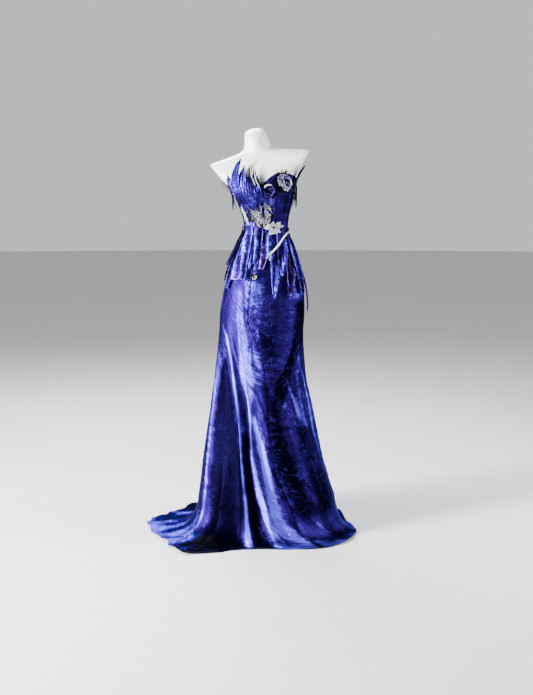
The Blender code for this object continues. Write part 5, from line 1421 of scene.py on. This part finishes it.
def rosette(angle, height, out, radius, petals, tall):
    """Cupped petals set round a bud, each turned by the golden angle: their reach grows as the square root of their
    number, and their torn lips stand up as a sine and roll outwards as a cube."""
    laid = []
    rows, columns = ROSE_GRID
    u, v = np.linspace(-1, 1, columns)[None, :], np.linspace(0, 1, rows)[:, None]
    for k in range(petals):
        share = math.sqrt((k + 0.6) / petals)
        seat = (0.03 + 0.74 * share) * radius * MM
        half = (0.22 + 0.34 * share) * radius * MM
        turn = k * GOLDEN_ANGLE + u * np.minimum(half / seat, 1.5) * (1 - 0.25 * v**2)
        lip = 1 - 0.22 * u**2 + 0.14 * noise(3 * u + k, 0 * u + k, 71) + 0.08 * noise(9 * u + k, 0 * u, 72)
        rise = out + tall * (1 - 0.62 * share**1.5) * lip * np.sin(v * math.pi / 2 * 0.97)
        crumple = noise(u * 2.4 + 5 * k, v * 2.2, 73)
        across = seat * (0.80 + 0.20 * v) + radius * MM * (0.34 * v**3 + 0.07 * v * crumple) * (0.4 + 0.6 * share)
        around, level = beside(angle * DEG, height, across * np.sin(turn), -across * np.cos(turn))
        grid = moved_out(gown, around, level, (rise + 0.7 * v * crumple) * MM)[:, ::-1]
        # Painted shade deep in each cupped petal and painted highlight towards its lip and on its crumples.
        laid.append((grid, 0.06 + 0.62 * v**2 * (0.65 + 0.35 * lip) + 0.34 * crumple * v))
    return laid


def rosettes():
    """Every ruff and its rose."""
    for name, angle, height, out, reach, blades, wide, seat, radius, petals, tall, under, over in ROSETTES:
        cloth("ruff_" + name + "_blades", under, ruff(angle, height, out, reach, blades, wide), ["ruff_" + name],
              0.45 * MM, (1.0, WHITE_PALER if under == "silver" else 0.0))
        cloth("rosette_" + name + "_petals", over, rosette(angle, height, out + seat, radius, petals, tall),
              ["rosette_" + name], 0.5 * MM,
              (1.0, VIOLET_DARKER if over == "violet" else 0.0))


rosettes()

# Braid. Two strands of white silk twisted together and sewn from the right waist down to the middle, with a few shreds
# of torn silk at both ends.
BRAID = {"path": ((62, 1.190, 11), (44, 1.165, 15), (20, 1.120, 18), (6, 1.098, 18)), "strand": 2.3 * MM, "twists": 9,
         "rows": 220, "apart": 0.75, "ends": 0.02, "uneven": 0.16}


def path_at(path, t):
    """Places on a smooth curve through given ones, at shares of their count."""
    return read([(k / (len(path) - 1), *row) for k, row in enumerate(path)], t)


def closed_faces(rows, sides):
    """Faces of rings joined in a row, and one face over each end."""
    ends = np.arange(sides)
    return [quads(rows, sides, wrap=True), np.stack([ends[::-1], ends + (rows - 1) * sides])]


def tube(middle, side, away, radius, sides=10):
    """A round tube along a line: the cosine and the sine of the turn carried on its side and away directions."""
    turn = np.linspace(0, 2 * math.pi, sides, endpoint=False)
    ring = np.cos(turn)[:, None] * side[:, None] + np.sin(turn)[:, None] * away[:, None]
    points = middle[:, None] + ring * radius[:, None, None]
    return points.reshape(-1, 3), closed_faces(len(middle), sides)


def braid():
    """Both strands wind about the path as a cosine and a sine of its length, and thin out at their ends."""
    t = np.linspace(0, 1, BRAID["rows"])
    angle, height, out = np.moveaxis(path_at(BRAID["path"], t), -1, 0)
    middle = moved_out(gown, angle * DEG, height, out * MM)
    along = unit(np.gradient(middle, axis=0))
    side = unit(np.cross(along, moved_out(gown, angle * DEG, height, out * MM + 0.01) - middle))
    away = np.cross(side, along)
    ends = 0.25 + 0.75 * np.clip(np.minimum(t, 1 - t) / BRAID["ends"], 0, 1)
    strands = []
    for phase in (0.0, math.pi):
        turn = t * BRAID["twists"] * 2 * math.pi + phase
        off = (side * np.cos(turn)[:, None] + away * np.sin(turn)[:, None]) * BRAID["strand"] * BRAID["apart"]
        thick = BRAID["strand"] * ends * (1 + BRAID["uneven"] * noise(t * 60 + 9 * phase, 0 * t, 74))
        strands.append(tube(middle + off, side, away, thick))
    made = added("braid_waist_strands", strands, twisted_silk(), "silver_silk", 60)
    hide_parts("braid_waist")


def twisted_silk():
    """White silk yarn: fine fibres as small noise between a greyer and a paler white."""
    made, tree, shader = material("twisted_silk")
    fibre = clouds(tree, spot(tree), 900.0, 3.0)
    fed(tree, shader, {
        "Base Color": blended(tree, fibre, *SILK_WHITE[2:]),
        "Roughness": spread(tree, fibre, 0, 1, 0.45, 0.65),
        "Normal": bumped(tree, fibre, 0.6, 0.2 * MM),
        "Sheen Weight": 0.3,
    })
    return made


braid()

# Stitching. Short running stitches of blue thread, each sunk at both ends: along the turned top edge, on both sides
# of every bone channel, and round the hem.
THREAD = {"pitch": 3.6 * MM, "long": 2.7 * MM, "thick": 0.32 * MM, "rings": 5, "sides": 4}
THREAD_COLOURS = ((0.010, 0.006, 0.10, 1), (0.07, 0.055, 0.42, 1))
HEM_STITCH = (-0.962, -0.952, -0.942)
STITCH_STEPS = 160


def thread_finish():
    """Twisted polyester thread: fine slanting fibres between two blues."""
    made, tree, shader = material("sewing_thread")
    fibre = clouds(tree, scaled(tree, spot(tree), (900, 900, 2400)), 1.0)
    fed(tree, shader, {
        "Base Color": blended(tree, fibre, *THREAD_COLOURS),
        "Roughness": spread(tree, fibre, 0, 1, 0.35, 0.55),
        "Normal": bumped(tree, fibre, 0.5, 0.08 * MM),
        "Sheen Weight": 0.2,
    })
    return made


def repeated(blocks, corners, count):
    """Faces of a small shape of so many corners, counted on for each of its copies."""
    steps = corners * np.arange(count)[:, None, None]
    return [(block + steps).reshape(-1, block.shape[1]) for block in blocks]


def stitches(line, away):
    """Points and faces of the stitches along a line: a few rings each, whose radius and whose rise off the cloth go as
    the sine of the share of the stitch."""
    rings, sides, thick = THREAD["rings"], THREAD["sides"], THREAD["thick"]
    walked = walk(line)
    count = int(walked[-1] / THREAD["pitch"])
    share = np.linspace(0, 1, rings)
    marks = (np.arange(count)[:, None] + 0.5) * THREAD["pitch"] + (share - 0.5) * THREAD["long"]
    middle, up = walked_to(line, walked, marks), walked_to(unit(away), walked, marks)
    side = unit(np.cross(np.gradient(middle, axis=1), up))
    swell = np.sin(math.pi * share)[:, None]
    middle = middle + up * (thick * (1.3 * swell - 0.7))
    turn = np.linspace(0, 2 * math.pi, sides, endpoint=False)[:, None]
    ring = (np.cos(turn) * side[:, :, None] + np.sin(turn) * up[:, :, None]) * thick * (0.45 + 0.55 * swell[:, None])
    points = (middle[:, :, None] + ring).reshape(-1, 3)
    return points, repeated(closed_faces(rings, sides), rings * sides, count)


def stitching():
    """The lines: angle and height on the bodice's relief, and a row of the skirt just inside its hem."""
    top, bones, hem = [], [], []
    for _, start, end, _, ribs in BODICE_PANELS:
        angles = np.linspace(start + 0.6, end - 0.6, STITCH_STEPS) * DEG
        runs = [(top, angles, bodice_top(angles) - TOP_EDGE["stitch"])]
        for rib in ribs:
            for side in (-1, 1):
                angle = rib * DEG + side * BONE["groove_at"] * BONE["half"] / BODICE_REACH
                highest = float(bodice_top(angle)) - TOP_EDGE["stitch"] - 3 * MM
                heights = np.linspace(WAIST_HEIGHT + 4 * MM, highest, STITCH_STEPS)
                runs.append((bones, angle + 0 * heights, heights))
        for store, angle, height in runs:
            out = bodice_relief(angle, height, start, end, ribs) + CLOTH + FORM_GAP
            line = moved_out(skin, angle, height, out)
            store.append(stitches(line, moved_out(skin, angle, height, out + MM) - line))
    for _, start, end in GORES:
        points, _, _ = gore_points(start, end, np.array(HEM_STITCH))
        hem.append(stitches(points[1], grid_normals(points)[1]))
    finish = thread_finish()
    for name, sewn in (("top_edge", top), ("bones", bones), ("hem", hem)):
        added("stitches_" + name, sewn, finish, "blue_taffeta")


stitching()

# Zip. A closed metal zip over the centre back seam: a woven tape laid on both panels, interlocked teeth, a slider at
# the top, and a hook and eye of bent wire above it.
ZIP = {"low": 1.188, "high": 1.308, "tape": 7.0, "pitch": 1.5 * MM, "tooth": (2.7 * MM, 1.15 * MM, 0.95 * MM)}
ZIP_BODY = (2.6 * MM, 3.9 * MM, 1.5 * MM)
ZIP_OUT = {"teeth": 2.2 * MM, "slider": 3.4 * MM, "wire": 1.6 * MM}
ZIP_METAL = ((0.10, 0.10, 0.12, 1), (0.34, 0.34, 0.37, 1))
WIRE = {"thick": 0.42 * MM, "rows": 60, "over": 8 * MM}
HOOK = ((-0.9, -5.5, 0.5), (-1.3, -3.6, 0.5), (-0.9, -1.0, 0.6), (-0.5, 1.8, 0.8), (0.0, 2.5, 1.4), (0.5, 1.8, 1.8),
        (0.6, 0.2, 1.7))
EYE = ((-2.6, 1.4, 0.5), (-3.2, 0.4, 0.5), (-2.2, -0.1, 0.5), (-1.6, 1.2, 0.6), (-1.2, 2.6, 0.8), (0.0, 3.2, 0.9),
       (1.2, 2.6, 0.8), (1.6, 1.2, 0.6), (2.2, -0.1, 0.5), (3.2, 0.4, 0.5), (2.6, 1.4, 0.5))
BLOCK = {"rings": 8, "sides": 12, "power": 0.45}


def small_metal():
    """Darkened nickel, paler and smoother where it is rubbed."""
    made, tree, shader = material("zip_nickel")
    worn = clouds(tree, spot(tree), 420.0, 4.0)
    fed(tree, shader, {
        "Base Color": blended(tree, spread(tree, worn, 0.35, 0.7, 0, 1), *ZIP_METAL),
        "Roughness": spread(tree, worn, 0.3, 0.7, 0.45, 0.22),
        "Normal": bumped(tree, worn, 0.3, 0.04 * MM),
        "Metallic": 1.0,
    })
    return made


def blocks(middles, axes, sizes):
    """Rounded blocks: a ball's coordinates raised to a power and stretched to the half sizes along the axes."""
    rings, sides = BLOCK["rings"] - 2, BLOCK["sides"]
    down = np.linspace(0, math.pi, BLOCK["rings"])[1:-1, None]
    turn = np.linspace(0, 2 * math.pi, sides, endpoint=False)
    ball = np.stack([np.sin(down) * np.cos(turn), np.sin(down) * np.sin(turn), np.cos(down) + 0 * turn], axis=-1)
    ball = (np.sign(ball) * np.abs(ball) ** BLOCK["power"]).reshape(-1, 3)
    points = middles[:, None] + np.einsum("pk,nkc->npc", ball * sizes, axes)
    faces = [block[:, ::-1] for block in closed_faces(rings, sides)]
    return points.reshape(-1, 3), repeated(faces, rings * sides, len(middles))


def back_frame(heights, out):
    """Points on the centre back seam and the three ways there: across, up and off the cloth."""
    angle = math.pi + 0 * heights
    at = moved_out(skin, angle, heights, CLOTH + FORM_GAP + out)
    away = unit(moved_out(skin, angle, heights, CLOTH + FORM_GAP + out + MM) - at)
    up = unit(np.gradient(at, axis=0))
    return at, np.stack([np.cross(up, away), up, away], axis=1)


def bent(path, top):
    """A round wire through places that are mm across, up and off the cloth at a height on the seam."""
    at, axes = back_frame(top + np.array([-MM, 0.0, MM]), ZIP_OUT["wire"])
    line = at[1] + path_at(path, np.linspace(0, 1, WIRE["rows"])) * MM @ axes[1]
    along = np.gradient(line, axis=0)
    side = unit(np.cross(along, np.broadcast_to(axes[1][2], line.shape)))
    return tube(line, side, unit(np.cross(side, along)), np.full(WIRE["rows"], WIRE["thick"]))


def zip_fastener():
    """Tape, teeth that alternate about the seam, the slider, and the hook and eye."""
    tape, _ = strip((180, ZIP["high"] + 0.008, 0.3), (180, ZIP["low"], 0.3), (ZIP["tape"],) * 3, torn=0.0,
                    grid=(60, 16))
    cloth("zip_tape", "blue", [(tape, 0.30)], [],
          0.6 * MM)
    metal = small_metal()
    heights = np.arange(ZIP["low"] + 2 * MM, ZIP["high"] - 2 * MM, ZIP["pitch"])
    at, axes = back_frame(heights, ZIP_OUT["teeth"])
    sideways = 0.9 * MM * np.where(np.arange(len(heights)) % 2, 1.0, -1.0)
    teeth = blocks(at + axes[:, 0] * sideways[:, None], axes, np.array(ZIP["tooth"]) / 2)
    added("zip_teeth", [teeth], metal, "stand_steel", 40)
    at, axes = back_frame(np.linspace(ZIP["high"] - 5 * MM, ZIP["high"] + MM, 3), ZIP_OUT["slider"])
    added("zip_slider", [blocks(at[1:2], axes[1:2], np.array(ZIP_BODY))], metal, "stand_steel", 40)
    for name, path in (("hook_wire", HOOK), ("eye_wire", EYE)):
        added(name, [bent(path, ZIP["high"] + WIRE["over"])], metal, "stand_steel", 60)


zip_fastener()
